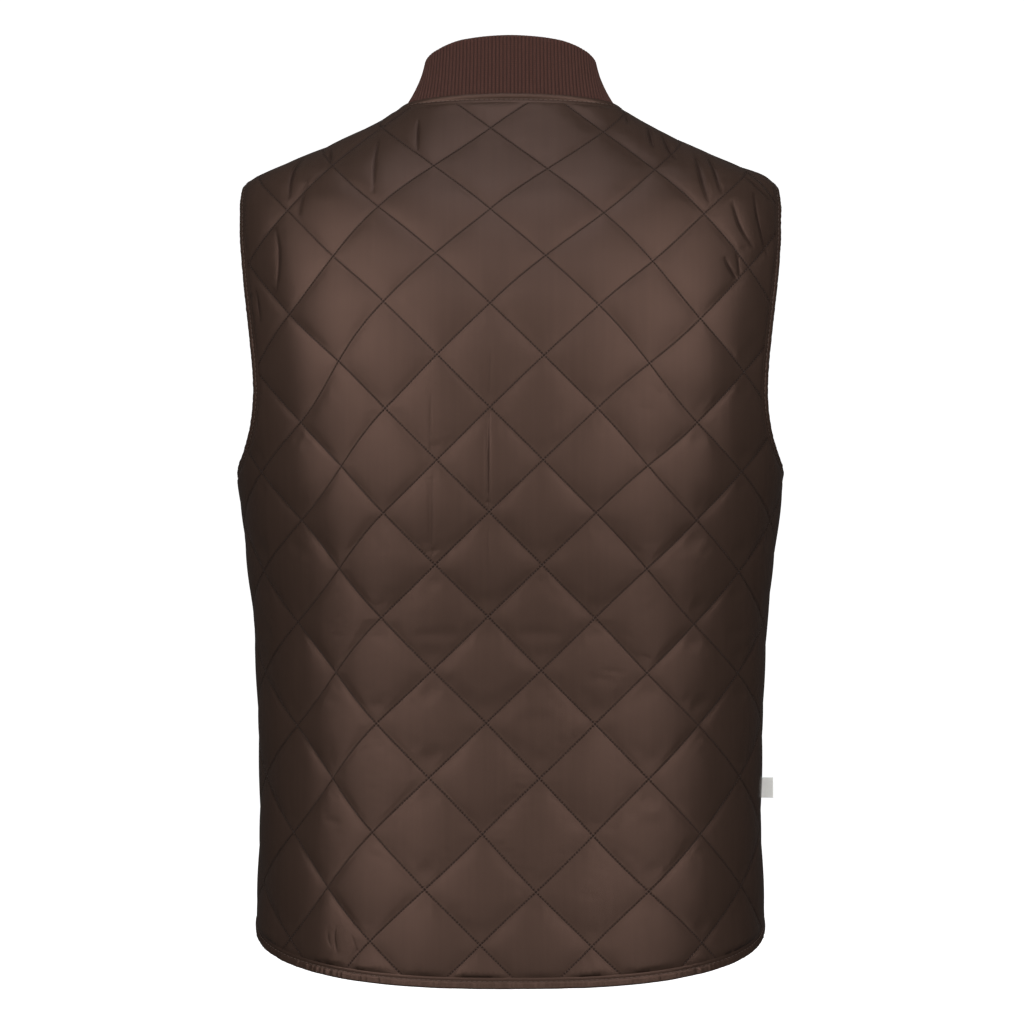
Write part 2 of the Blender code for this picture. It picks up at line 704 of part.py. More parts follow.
def add_slider():
    half, taper = SLIDER_WIDTH / 2, SLIDER_TAPER
    end = SLIDER_LENGTH / 2
    low, high = SLIDER_LEVELS
    rim = [
        (-half * 0.7, -end), (half * 0.7, -end), (half, -end * 0.6),
        (half * taper, end * 0.5), (half * taper * 0.8, end),
        (-half * taper * 0.8, end), (-half * taper, end * 0.5), (-half, -end * 0.6),
    ]
    loops = [[(x, d, level) for x, d in rim] for level in (low, high)]
    plate = add_object(
        "zip_slider", placed(loops[0] + loops[1], SLIDER_PLACE), prism(*loops), "zip_metal"
    )
    reach, side, sunk = BAIL_LENGTH / 2, BAIL_WIDTH / 2, 0.0005
    top = high + BAIL_HOLE + BAIL_BAR
    arch = [
        (-reach, high - sunk), (-reach, top - BAIL_BAR), (-reach + BAIL_BAR, top),
        (reach - BAIL_BAR, top), (reach, top - BAIL_BAR), (reach, high - sunk),
        (reach - BAIL_BAR, high - sunk), (reach - BAIL_BAR, top - BAIL_BAR),
        (-reach + BAIL_BAR, top - BAIL_BAR), (-reach + BAIL_BAR, high - sunk),
    ]
    loops = [[(x, d, o) for d, o in arch] for x in (-side, side)]
    bail = add_object(
        "slider_bail", placed(loops[0] + loops[1], SLIDER_PLACE), prism(*loops), "zip_metal"
    )
    bail.hide_render = True
    bail.display_type = "WIRE"
    join = plate.modifiers.new("bail", "BOOLEAN")
    join.operation = "UNION"
    join.object = bail


def add_pull():
    """Flat pull whose upper bar turns in the slider's bail."""
    level = SLIDER_LEVELS[1] + BAIL_HOLE / 2
    half, eye, bar = PULL_WIDTH / 2, PULL_EYE_WIDTH / 2, PULL_THICKNESS / 2
    top, bottom = PULL_PIVOT - bar, PULL_PIVOT + PULL_LENGTH
    neck = eye + 0.0011
    shoulder = PULL_PIVOT + PULL_EYE_LENGTH + 0.0012
    rim = [
        (-neck, top), (neck, top), (neck, shoulder), (half, shoulder + 0.002),
        (half, bottom - 0.0015), (half - 0.0015, bottom), (-half + 0.0015, bottom),
        (-half, bottom - 0.0015), (-half, shoulder + 0.002), (-neck, shoulder),
    ]
    hole_low = PULL_PIVOT + PULL_EYE_LENGTH
    hole = [(-eye, PULL_PIVOT + bar), (eye, PULL_PIVOT + bar), (eye, hole_low), (-eye, hole_low)]
    corners = [(x, d, level + o) for o in (-bar, bar) for x, d in rim + hole]
    count = len(rim) + len(hole)
    left, right = [9, 0, 10, 13], [1, 2, 12, 11]
    flat = [[0, 1, 11, 10], right, left, [2, 9, 13, 12], [2, 3, 4, 5, 6, 7, 8, 9]]
    faces = flat + [[i + count for i in reversed(face)] for face in flat]
    for loop in (list(range(10)), list(range(13, 9, -1))):
        for a, b in zip(loop, loop[1:] + loop[:1]):
            faces.append([b, a, a + count, b + count])
    add_object("zip_pull", placed(corners, SLIDER_PLACE), faces, "zip_metal")


def add_zip_box():
    """Retaining box at the foot of the zip, in line with the hem band."""
    width, length = BOX_SIZE
    start = CHAIN_BOTTOM - SEAM_GAP - length / 2
    half, end = width / 2, length / 2
    rim = [(-half, -end), (half, -end), (half, end * 0.7), (half * 0.8, end), (-half * 0.8, end), (-half, end * 0.7)]
    loops = [[(x, d, level) for x, d in rim] for level in BOX_LEVELS]
    add_object("zip_box", placed(loops[0] + loops[1], start), prism(*loops), "zip_teeth_brown")


def add_tab():
    """Small bare woven tab standing out of the wearer's right side seam."""
    reach, thick, tall = TAB_SIZE
    root = -(half_width(TAB_HEIGHT) + WALL + SEAM_GAP)
    near, far = root, root - reach
    low, high = TAB_HEIGHT - tall / 2, TAB_HEIGHT + tall / 2
    loops = [
        [(near, y, low), (far, y, low), (far, y, high), (near, y, high)]
        for y in (-thick / 2, thick / 2)
    ]
    add_object("side_tab", loops[0] + loops[1], prism(*loops), "tab_white")


def main():
    clear_scene()
    points, faces = quilted_wall(BACK, BACK_CROSSING)
    add_object("back_panel", points, faces, "shell_brown")
    points, faces = quilted_wall(FRONT, FRONT_CROSSING)
    add_object("front_left", points, faces, "shell_brown")
    add_object("front_right", mirrored(points), faces, "shell_brown")
    add_bands()
    add_collar()
    add_zip_strips()
    add_slider()
    add_pull()
    add_zip_box()
    add_tab()


main()
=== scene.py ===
"""Dressed model of the quilted gilet: puffed quilting, stitching, rib knit, zip and a plain studio.

It repeats the sizes of the solids, in metres: +Z up, the wearer faces -Y, the origin is at the neck.
"""

import json
import math
from collections import namedtuple

import bmesh
import bpy
import numpy as np
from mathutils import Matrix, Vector, noise
from mathutils.geometry import delaunay_2d_cdt

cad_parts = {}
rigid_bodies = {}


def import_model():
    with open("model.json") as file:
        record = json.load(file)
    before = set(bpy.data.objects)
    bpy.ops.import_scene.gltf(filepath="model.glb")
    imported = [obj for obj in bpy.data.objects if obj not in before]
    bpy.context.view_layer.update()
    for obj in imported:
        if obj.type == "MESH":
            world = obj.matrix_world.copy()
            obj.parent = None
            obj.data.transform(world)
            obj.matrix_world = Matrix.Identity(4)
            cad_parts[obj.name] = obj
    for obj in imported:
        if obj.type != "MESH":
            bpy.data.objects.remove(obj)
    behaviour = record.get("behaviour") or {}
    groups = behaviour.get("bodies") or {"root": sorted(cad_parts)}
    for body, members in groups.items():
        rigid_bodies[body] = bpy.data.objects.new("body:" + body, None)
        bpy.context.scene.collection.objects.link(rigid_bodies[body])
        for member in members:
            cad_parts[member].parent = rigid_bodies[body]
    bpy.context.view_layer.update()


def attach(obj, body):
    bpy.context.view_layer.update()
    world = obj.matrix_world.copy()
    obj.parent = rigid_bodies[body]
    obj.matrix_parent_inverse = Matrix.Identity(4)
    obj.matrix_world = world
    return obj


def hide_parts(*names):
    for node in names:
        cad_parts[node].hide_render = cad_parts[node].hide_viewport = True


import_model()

BACK, FRONT = 1, -1
BODY = "garment"

# Cloth and quilting, as in the solids
WALL = 0.002
OUTLINE_TO_LINING = 0.004
QUILT = 0.076  # a diamond across, and up and down
BACK_CROSSING = (0.0145, -0.2262)
FRONT_CROSSING = (0.0450, -0.2400)
SEAM_GAP = 0.0003
SECTION_POWER = 2.4
NECK_SIDE_HEIGHT = -0.005
NECK_BACK_HEIGHT = -0.001
NECK_FRONT_HEIGHT = -0.080
NECK_CURVE = 1.4
NECK_CORNERS = {BACK: 10, FRONT: 12}
HEM_SIDE_HEIGHT = -0.5945
HEM_BACK_DROP = 0.0362
HEM_FRONT_DROP = 0.0230
HEM_CURVE = 2.8
FRONT_EDGE = 0.007
BAND_WIDTH = 0.007
HEM_BAND_WIDTH = 0.008
BAND_HEIGHT = 0.0024

Section = namedtuple("Section", "height half_width back_depth front_depth")
SECTIONS = (
    Section(0.012, 0.0690, 0.0260, 0.0340),
    Section(0.002, 0.0790, 0.0320, 0.0410),
    Section(-0.0045, 0.0872, 0.0365, 0.0450),
    Section(-0.017, 0.1072, 0.0455, 0.0515),
    Section(-0.032, 0.1384, 0.0570, 0.0590),
    Section(-0.047, 0.1730, 0.0680, 0.0660),
    Section(-0.055, 0.1922, 0.0735, 0.0697),
    Section(-0.063, 0.2008, 0.0790, 0.0735),
    Section(-0.078, 0.2056, 0.0880, 0.0800),
    Section(-0.110, 0.2088, 0.1015, 0.0940),
    Section(-0.150, 0.2094, 0.1125, 0.1065),
    Section(-0.210, 0.2076, 0.1195, 0.1170),
    Section(-0.273, 0.2037, 0.1205, 0.1205),
    Section(-0.330, 0.1970, 0.1165, 0.1195),
    Section(-0.390, 0.1911, 0.1110, 0.1165),
    Section(-0.450, 0.1885, 0.1090, 0.1150),
    Section(-0.520, 0.1870, 0.1115, 0.1160),
    Section(-0.580, 0.1888, 0.1165, 0.1185),
    Section(-0.650, 0.1925, 0.1220, 0.1215),
)

ArmholeRow = namedtuple("ArmholeRow", "height back_reach front_reach")
ARMHOLE = (
    ArmholeRow(-0.2800, 0.0000, 0.0000),
    ArmholeRow(-0.2690, 0.0360, 0.0380),
    ArmholeRow(-0.2500, 0.0555, 0.0590),
    ArmholeRow(-0.2220, 0.0640, 0.0680),
    ArmholeRow(-0.1900, 0.0635, 0.0690),
    ArmholeRow(-0.1500, 0.0560, 0.0630),
    ArmholeRow(-0.1100, 0.0440, 0.0510),
    ArmholeRow(-0.0800, 0.0325, 0.0385),
    ArmholeRow(-0.0620, 0.0200, 0.0240),
    ArmholeRow(-0.0535, 0.0000, 0.0000),
)

CollarRow = namedtuple("CollarRow", "angle rise lean")
COLLAR = (  # the first row mirrors the third, which keeps the top round at the middle of the back
    CollarRow(-25, 0.0441, 0.0088),
    CollarRow(0, 0.0463, 0.0080),
    CollarRow(25, 0.0441, 0.0088),
    CollarRow(46, 0.0382, 0.0110),
    CollarRow(62, 0.0334, 0.0128),
    CollarRow(75, 0.0308, 0.0138),
    CollarRow(90, 0.0300, 0.0140),
    CollarRow(135, 0.0305, 0.0100),
    CollarRow(172, 0.0300, 0.0050),
    CollarRow(180, 0.0230, 0.0040),
)
COLLAR_THICKNESS = 0.0038
COLLAR_TALL = 0.045
COLLAR_HOLLOW = 0.0013
RIB_COUNT = 168
RIB_HEIGHT = 0.0009

# Zip, as in the solids, with heights above the lining
TAPE_WIDTH = 0.0034
TAPE_INNER_EDGE = 0.0004  # the tape runs on under the teeth, and into the sewn front edge
TAPE_TUCK = 0.0012
TAPE_LEVELS = (0.0006, 0.0014)
CHAIN_WIDTH = 0.0056
CHAIN_LEVELS = (-0.0002, 0.0024)
CHAIN_TOP = -0.0830
CHAIN_BOTTOM = -0.6150
SLIDER_PLACE = -0.0950
SLIDER_LEVELS = (0.0027, 0.0042)
BAIL_HOLE = 0.0018
BAIL_REACH = 0.0035
BAIL_HALF_WIDTH = 0.0008
BAIL_HALF_HEIGHT = 0.0005
PULL_PIVOT = 0.0012
PULL_LENGTH = 0.027
PULL_WIDTH = 0.0064
PULL_EYE_WIDTH = 0.0024
PULL_EYE_LENGTH = 0.0035

# Finer form that only the dressed model has
NECK_POINTS = 46
SHOULDER_POINTS = 44
ARMHOLE_POINTS = 90
SIDE_POINTS = 110
HEM_POINTS = 84
FRONT_EDGE_POINTS = 190
FINE_STEPS = 20  # mesh steps along a diamond's side
LINING_STEPS = 5
FINE_MARGIN = 0.0016
LINING_MARGIN = 0.004
LOFT_START = 0.0018  # swell of a diamond before it is inflated
LOFT_POWER = 0.6
UNEVEN_LOFT = 0.14
UNEVEN_SIZE = 0.048
CLOTH_SLACK = 0.001  # cloth between stitch lines is this much longer than the wall under it
PUFF_PRESSURE = 1.4
PUFF_FRAMES = 18
PUFF_CAP = 0.0065
SEAM_PRESS = 0.030  # how far in from a side or shoulder seam the puff is pressed down
SEAM_PUFF = 0.3
CREASE_STEP = 0.0018
CREASE_ROWS = (-3.4, -2.1, -1.2, -0.6, 0.0, 0.6, 1.2, 2.1, 3.4)  # in a crease's widths
CREASE_FOLD = 0.45  # share of a crease's depth in its narrow fold, and in the broad trough round it
CREASE_TROUGH = 0.3
CREASE_SPREAD = 4.0  # the trough's width, in the fold's widths
CREASE_FADE = 0.7  # power by which a crease fades towards its ends
DEEP_CREASE = 0.0013
STITCH_PITCH = 0.0022
STITCHES_PER_SIDE = round(QUILT / math.sqrt(2) / STITCH_PITCH)
STITCH_LENGTH = 0.0017
STITCH_RADIUS = 0.00022
STITCH_MARGIN = 0.002
STITCH_LIFT = 0.0001
HEM_STITCH_PITCH = 0.0036
HEM_STITCH_LENGTH = 0.0026
STITCH_LINE = 0.0026  # from a turned edge's seam to its stitches
ROLL_START = 0.0018  # from the stitches to an edge's full height
NECK_ROLL = 0.0020  # extra height of the neck edge, at the middle of the back
NECK_ROLL_REACH = 0.074
GATHER_SIZE = 0.0024
GATHER_DRIFT = 0.011  # gathers swell and fade along an edge over about this length
EDGE_DRIFT = 0.014
COLUMNS_PER_RIB = 8
RIB_ROUNDNESS = 0.7
COLLAR_DRIFT = 0.0004
COLLAR_DRIFT_SIZE = 0.016
TOOTH_PITCH = 0.0024
PULL_THICKNESS = 0.001
TAB_HEIGHT = -0.505
TAB_REACH = 0.0095
TAB_TALL = 0.015
TAB_THICK = 0.0010
CLOTH_EDGE = math.radians(60)  # sharper edges than these aren't shaded as round
TAB_EDGE = math.radians(50)
METAL_EDGE = math.radians(35)


def smooth_table(rows, column, at):
    """A table's column at any places along its first one, on a cubic that doesn't overshoot the rows."""
    x, y = np.array(sorted((row[0], getattr(row, column)) for row in rows)).T
    step, slope = np.diff(x), np.diff(y) / np.diff(x)
    turn = slope[:-1] * slope[1:] > 0
    mean = 2 * slope[:-1] * slope[1:] / np.where(turn, slope[:-1] + slope[1:], 1)
    tangent = np.concatenate([slope[:1], np.where(turn, mean, 0), slope[-1:]])
    at = np.clip(at, x[0], x[-1])
    i = np.clip(np.searchsorted(x, at) - 1, 0, len(step) - 1)
    t = (at - x[i]) / step[i]
    return (
        y[i] * (1 + 2 * t) * (1 - t) ** 2
        + tangent[i] * step[i] * t * (1 - t) ** 2
        + y[i + 1] * t * t * (3 - 2 * t)
        + tangent[i + 1] * step[i] * t * t * (t - 1)
    )


def unit(vectors):
    """The same directions, one a row, each of length 1."""
    return vectors / np.linalg.norm(vectors, axis=1)[:, None]


# The lining surface, for whole arrays of places

def half_width(height):
    return smooth_table(SECTIONS, "half_width", height) - OUTLINE_TO_LINING


def depth(height, side):
    back = smooth_table(SECTIONS, "back_depth", height)
    front = smooth_table(SECTIONS, "front_depth", height)
    return np.where(np.asarray(side) > 0, back, front) - OUTLINE_TO_LINING


SURFACE_BATCH = 5000  # places worked out at once, to save memory
TURNS = np.linspace(0, math.pi / 2, 181)
RING_X = np.sin(TURNS) ** (2 / SECTION_POWER)
RING_Y = np.clip(np.cos(TURNS), 0, 1) ** (2 / SECTION_POWER)


def body_rings(height, side):
    """Ring points from the middle of a side to its seam, with their run, one row for each height."""
    x = half_width(height)[:, None] * RING_X
    y = (side * depth(height, side))[:, None] * RING_Y
    step = np.hypot(np.diff(x, axis=1), np.diff(y, axis=1))
    run = np.concatenate([np.zeros((len(x), 1)), np.cumsum(step, axis=1)], axis=1)
    return x, y, run


def between(rows, wanted, values):
    """Each row's value where its rising run reaches the wanted distance."""
    i = np.clip((rows < wanted[:, None]).sum(axis=1), 1, rows.shape[1] - 1)
    n = np.arange(len(rows))
    low, high = rows[n, i - 1], rows[n, i]
    share = np.clip((wanted - low) / (high - low), 0, 1)
    return [v[n, i - 1] + share * (v[n, i] - v[n, i - 1]) for v in values]


def surface(across, height, side):
    """Points on the lining and the outward directions there."""
    across, height = np.asarray(across, float), np.asarray(height, float)
    side = np.broadcast_to(side, across.shape).astype(float)
    points = np.empty((len(across), 3))
    for start in range(0, len(across), SURFACE_BATCH):
        part = slice(start, start + SURFACE_BATCH)
        x, y, run = body_rings(height[part], side[part])
        px, py = between(run, np.abs(across[part]), (x, y))
        points[part] = np.stack([np.sign(across[part]) * px, py, height[part]], axis=1)
    return points, surface_normals(points, side)


def surface_normals(points, side):
    nudge = 0.0005
    x, y, z = points.T
    a, b = half_width(z), depth(z, side)
    a_slope = (half_width(z + nudge) - half_width(z - nudge)) / (2 * nudge)
    b_slope = (depth(z + nudge, side) - depth(z - nudge, side)) / (2 * nudge)
    px, py = np.abs(x / a), np.abs(y / b)
    up = -(px**SECTION_POWER * a_slope / a + py**SECTION_POWER * b_slope / b)
    level_x = np.sign(x) * px ** (SECTION_POWER - 1) / a
    level_y = side * py ** (SECTION_POWER - 1) / b
    return unit(np.stack([level_x, level_y, up], axis=1))


def quarter(height, side):
    return body_rings(np.atleast_1d(height), np.full(np.size(height), side))[2][:, -1]


def across_at_x(x, height, side):
    ring_x, _, run = body_rings(height, np.full(len(height), side))
    return between(ring_x, x, (run,))[0]


def across_at_reach(reach, height, side):
    _, ring_y, run = body_rings(height, np.full(len(height), side))
    return between(np.abs(ring_y)[:, ::-1], reach, (run[:, ::-1],))[0]


def profile(side):
    heights = np.linspace(SECTIONS[-1].height, SECTIONS[0].height, 400)
    deep = depth(heights, side)
    return heights, np.concatenate([[0], np.cumsum(np.hypot(np.diff(heights), np.diff(deep)))])


PROFILES = {BACK: profile(BACK), FRONT: profile(FRONT)}


def up_at(height, side):
    heights, run = PROFILES[side]
    return np.interp(height, heights, run)


def height_at(up, side):
    heights, run = PROFILES[side]
    return np.interp(up, run, heights)


# Seam lines as arrays of (across, height) for x above 0

def run_along(points):
    return np.concatenate([[0], np.cumsum(np.linalg.norm(np.diff(points, axis=0), axis=1))])


def resampled(points, run, at):
    return np.stack([np.interp(at, run, column) for column in points.T], axis=1)


def neck_corners(side):
    middle = NECK_BACK_HEIGHT if side == BACK else NECK_FRONT_HEIGHT
    widest = float(half_width(NECK_SIDE_HEIGHT))
    start = 0 if side == BACK else math.asin(FRONT_EDGE / widest)
    turn = np.linspace(start, math.pi / 2, NECK_CORNERS[side])
    share = np.clip(np.cos(turn), 0, 1) ** NECK_CURVE
    height = NECK_SIDE_HEIGHT + (middle - NECK_SIDE_HEIGHT) * share
    return np.stack([across_at_x(widest * np.sin(turn), height, side), height], axis=1)


def neck_line(side, count):
    corners = neck_corners(side)
    run = run_along(corners)
    return resampled(corners, run, np.linspace(0, run[-1], count))


def shoulder_line(side, count):
    height = np.linspace(NECK_SIDE_HEIGHT, ARMHOLE[-1].height, count)
    return np.stack([quarter(height, side), height], axis=1)


def armhole_line(side, count):
    column = "back_reach" if side == BACK else "front_reach"
    corners = np.array([(getattr(row, column), row.height) for row in reversed(ARMHOLE)])
    padded = np.vstack([corners[1] * (-1, 1), corners, corners[-2] * (-1, 1)])
    share = np.linspace(0, 1, 20, endpoint=False)[:, None]
    fine = [catmull_rom(padded[i - 1 : i + 3], share) for i in range(1, len(padded) - 2)]
    fine = np.vstack([*fine, corners[-1:]])
    run = run_along(fine)
    reach, height = resampled(fine, run, np.linspace(0, run[-1], count)).T
    return np.stack([across_at_reach(reach, height, side), height], axis=1)


def catmull_rom(four, t):
    a, b, c, d = four
    return 0.5 * (
        2 * b + (c - a) * t + (2 * a - 5 * b + 4 * c - d) * t**2 + (3 * b - a - 3 * c + d) * t**3
    )


def side_line(side, count):
    height = np.linspace(ARMHOLE[0].height, HEM_SIDE_HEIGHT, count)
    return np.stack([quarter(height, side), height], axis=1)


def hem_line(side, count):
    drop = HEM_BACK_DROP if side == BACK else HEM_FRONT_DROP
    widest = quarter(HEM_SIDE_HEIGHT, side)[0]
    across = np.linspace(widest, 0 if side == BACK else FRONT_EDGE, count)
    return np.stack([across, HEM_SIDE_HEIGHT - drop * (1 - (across / widest) ** HEM_CURVE)], axis=1)


def flat_outline(side):
    """A panel's edge laid flat as (across, up): the whole back, or the wearer's left front."""
    half = np.vstack(
        [
            neck_line(side, NECK_POINTS)[:-1],
            shoulder_line(side, SHOULDER_POINTS),
            armhole_line(side, ARMHOLE_POINTS)[1:-1],
            side_line(side, SIDE_POINTS),
            hem_line(side, HEM_POINTS)[1:],
        ]
    )
    half[:, 1] = up_at(half[:, 1], side)
    if side == BACK:
        return np.vstack([half, half[-2:0:-1] * (-1, 1)])
    rise = np.linspace(half[-1, 1], half[0, 1], FRONT_EDGE_POINTS)[1:-1]
    return np.vstack([half, np.stack([np.full(len(rise), FRONT_EDGE), rise], axis=1)])


# Uneven sewing: how far the back's quilt lines stray from even ones, at five places across
STRAY_PLACES = np.array([0.1665, 0.0905, 0.0145, -0.0615, -0.1375])
StrayRow = namedtuple("StrayRow", "height far_left left middle right far_right")
STRAY_ACROSS = (
    StrayRow(-0.063, -0.0020, 0.0057, 0.0000, -0.0064, -0.0040),
    StrayRow(-0.150, -0.0040, 0.0000, 0.0000, -0.0014, 0.0000),
    StrayRow(-0.226, -0.0130, -0.0014, 0.0000, 0.0000, 0.0024),
    StrayRow(-0.303, -0.0130, 0.0000, 0.0007, 0.0009, 0.0023),
    StrayRow(-0.379, -0.0080, 0.0020, 0.0014, 0.0014, 0.0036),
    StrayRow(-0.454, -0.0070, 0.0056, 0.0028, 0.0014, 0.0000),
    StrayRow(-0.570, 0.0000, 0.0100, 0.0070, 0.0040, -0.0030),
)
STRAY_UP = (
    StrayRow(-0.063, -0.0035, -0.0040, -0.0065, -0.0100, -0.0070),
    StrayRow(-0.150, -0.0080, 0.0000, -0.0016, -0.0030, -0.0120),
    StrayRow(-0.226, -0.0100, -0.0007, 0.0000, -0.0007, -0.0105),
    StrayRow(-0.303, -0.0040, 0.0012, 0.0019, 0.0012, -0.0040),
    StrayRow(-0.379, -0.0020, 0.0020, 0.0030, 0.0020, -0.0030),
    StrayRow(-0.454, -0.0010, 0.0020, 0.0030, 0.0020, 0.0000),
    StrayRow(-0.570, -0.0030, -0.0010, -0.0025, -0.0040, -0.0040),
)


def stray(even, side):
    """How far the quilt's lines are moved, across and up, at even places on the flat cloth."""
    if side == FRONT:
        return np.zeros_like(even)
    heights = height_at(even[:, 1], side)
    across = np.clip(even[:, :1], STRAY_PLACES[-1], STRAY_PLACES[0])
    share = 0.5 + 0.5 * np.cos(math.pi * np.clip(np.abs(across - STRAY_PLACES) / QUILT, 0, 1))
    moved = []
    for rows in (STRAY_ACROSS, STRAY_UP):
        columns = [smooth_table(rows, name, heights) for name in StrayRow._fields[1:]]
        moved.append((share * np.stack(columns, axis=1)).sum(axis=1))
    return np.stack(moved, axis=1)


def even_places(flat, side):
    """The even places that stray to these flat ones."""
    even = flat
    for _ in range(4):
        even = flat - stray(even, side)
    return even


# Meshes

def add_object(name, points, faces, material, slot=None, replaced=(), smooth=True, body=BODY):
    mesh = bpy.data.meshes.new(name)
    mesh.from_pydata(np.asarray(points, float).tolist(), [], faces)
    mesh.materials.append(material)
    if smooth:
        mesh.shade_smooth()
    obj = bpy.data.objects.new(name, mesh)
    bpy.context.scene.collection.objects.link(obj)
    if slot:
        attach(obj, body)
    if replaced:
        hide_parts(*replaced)
    return obj


def ring_faces(count, size, closed=False):
    """Faces between rings of points in a row, with flat ends unless the last ring meets the first."""
    faces = []
    for i in range(count if closed else count - 1):
        j = (i + 1) % count
        for k in range(size):
            m = (k + 1) % size
            faces.append([i * size + k, i * size + m, j * size + m, j * size + k])
    if not closed:
        faces.append(list(range(size)))
        faces.append([(count - 1) * size + k for k in reversed(range(size))])
    return faces


def shifted(faces, first):
    return [[i + first for i in face] for face in faces]


def face_outward(mesh):
    work = bmesh.new()
    work.from_mesh(mesh)
    bmesh.ops.recalc_face_normals(work, faces=work.faces)
    work.to_mesh(mesh)
    work.free()


def set_uv(mesh, flat, name="cloth"):
    """Stores each point's place on the flat cloth, in metres, for the weave or the quilting."""
    layer = mesh.uv_layers.new(name=name)
    corner = np.empty(len(mesh.loops), dtype=np.int32)
    mesh.loops.foreach_get("vertex_index", corner)
    layer.uv.foreach_set("vector", np.asarray(flat, np.float32)[corner].ravel())


def distance_to_edge(points, outline):
    start, along = outline, np.roll(outline, -1, axis=0) - outline
    nearest = np.full(len(points), np.inf)
    inside = np.zeros(len(points), bool)
    for a, d in zip(start, along):
        away = points - a
        share = np.clip((away @ d) / (d @ d), 0, 1)
        nearest = np.minimum(nearest, ((away - share[:, None] * d) ** 2).sum(axis=1))
        if d[1]:
            spans = (away[:, 1] < 0) != (away[:, 1] < d[1])
            inside ^= spans & (away[:, 0] < away[:, 1] * d[0] / d[1])
    nearest = np.sqrt(nearest)
    return np.where(inside, nearest, -nearest)


def inside_outline(points, outline, margin):
    """Which points lie inside an outline, by more than a margin."""
    kept = ((points > outline.min(axis=0)) & (points < outline.max(axis=0))).all(axis=1)
    kept[kept] = distance_to_edge(points[kept], outline) > margin
    return kept


def flat_crossing(place, side):
    """Where a crossing of the quilt's lines lies on the flat cloth."""
    return np.array([place[0], float(up_at(place[1], side))])


def quilt_span(outline, crossing):
    """Enough quilt lines on each side of a crossing to cover an outline."""
    reach = np.abs(np.vstack([outline.min(axis=0), outline.max(axis=0)]) - crossing).max()
    return int(reach / QUILT * 2 + 2)


def quilt_lattice(outline, crossing, steps, margin, side):
    """Flat points on a diamond lattice inside an outline, with their lattice numbers."""
    span = quilt_span(outline, crossing) * steps
    i, j = np.meshgrid(np.arange(-span, span + 1), np.arange(-span, span + 1))
    index = np.stack([i.ravel(), j.ravel()], axis=1)
    turned = np.stack([index.sum(axis=1), index[:, 0] - index[:, 1]], axis=1)
    even = turned * (QUILT / 2 / steps) + crossing
    points = even + stray(even, side)
    kept = inside_outline(points, outline, margin)
    return points[kept], index[kept]


def triangulated(outline, inner):
    count = len(outline)
    points = [Vector(p) for p in np.vstack([outline, inner])]
    found = delaunay_2d_cdt(points, [], [list(range(count))], 1, 1e-8)
    origin = [min(ids) for ids in found[3]]
    return [[origin[i] for i in face] for face in found[2]]


def inflated(name, points, faces, pinned):
    """Points of a sheet that is sewn down at the pinned ones and blown up a little between them."""
    obj = add_object(name + "_sewing", points, faces, bpy.data.materials.new("sewing"))
    group = obj.vertex_groups.new(name="sewn")
    group.add([int(i) for i in np.flatnonzero(pinned)], 1.0, "REPLACE")
    cloth = obj.modifiers.new("puff", "CLOTH")
    cloth.settings.vertex_group_mass = "sewn"
    cloth.settings.quality = 4
    cloth.settings.mass = 0.2
    cloth.settings.tension_stiffness = 12
    cloth.settings.compression_stiffness = 12
    cloth.settings.shear_stiffness = 6
    cloth.settings.bending_stiffness = 0.6
    cloth.settings.air_damping = 3
    cloth.settings.shrink_min = -CLOTH_SLACK
    cloth.settings.use_pressure = True
    cloth.settings.uniform_pressure_force = PUFF_PRESSURE
    cloth.settings.effector_weights.gravity = 0
    cloth.collision_settings.use_collision = False
    cloth.point_cache.frame_end = PUFF_FRAMES + 1
    for step in range(1, PUFF_FRAMES + 1):
        bpy.context.scene.frame_set(step)
    done = obj.evaluated_get(bpy.context.evaluated_depsgraph_get()).to_mesh()
    moved = np.empty(3 * len(done.vertices))
    done.vertices.foreach_get("co", moved)
    moved = moved.reshape(-1, 3)
    bpy.data.objects.remove(obj)
    bpy.context.scene.frame_set(1)
    shift = moved - points
    length = np.linalg.norm(shift, axis=1)[:, None]
    return points + shift * np.minimum(1, PUFF_CAP / np.maximum(length, 1e-9))


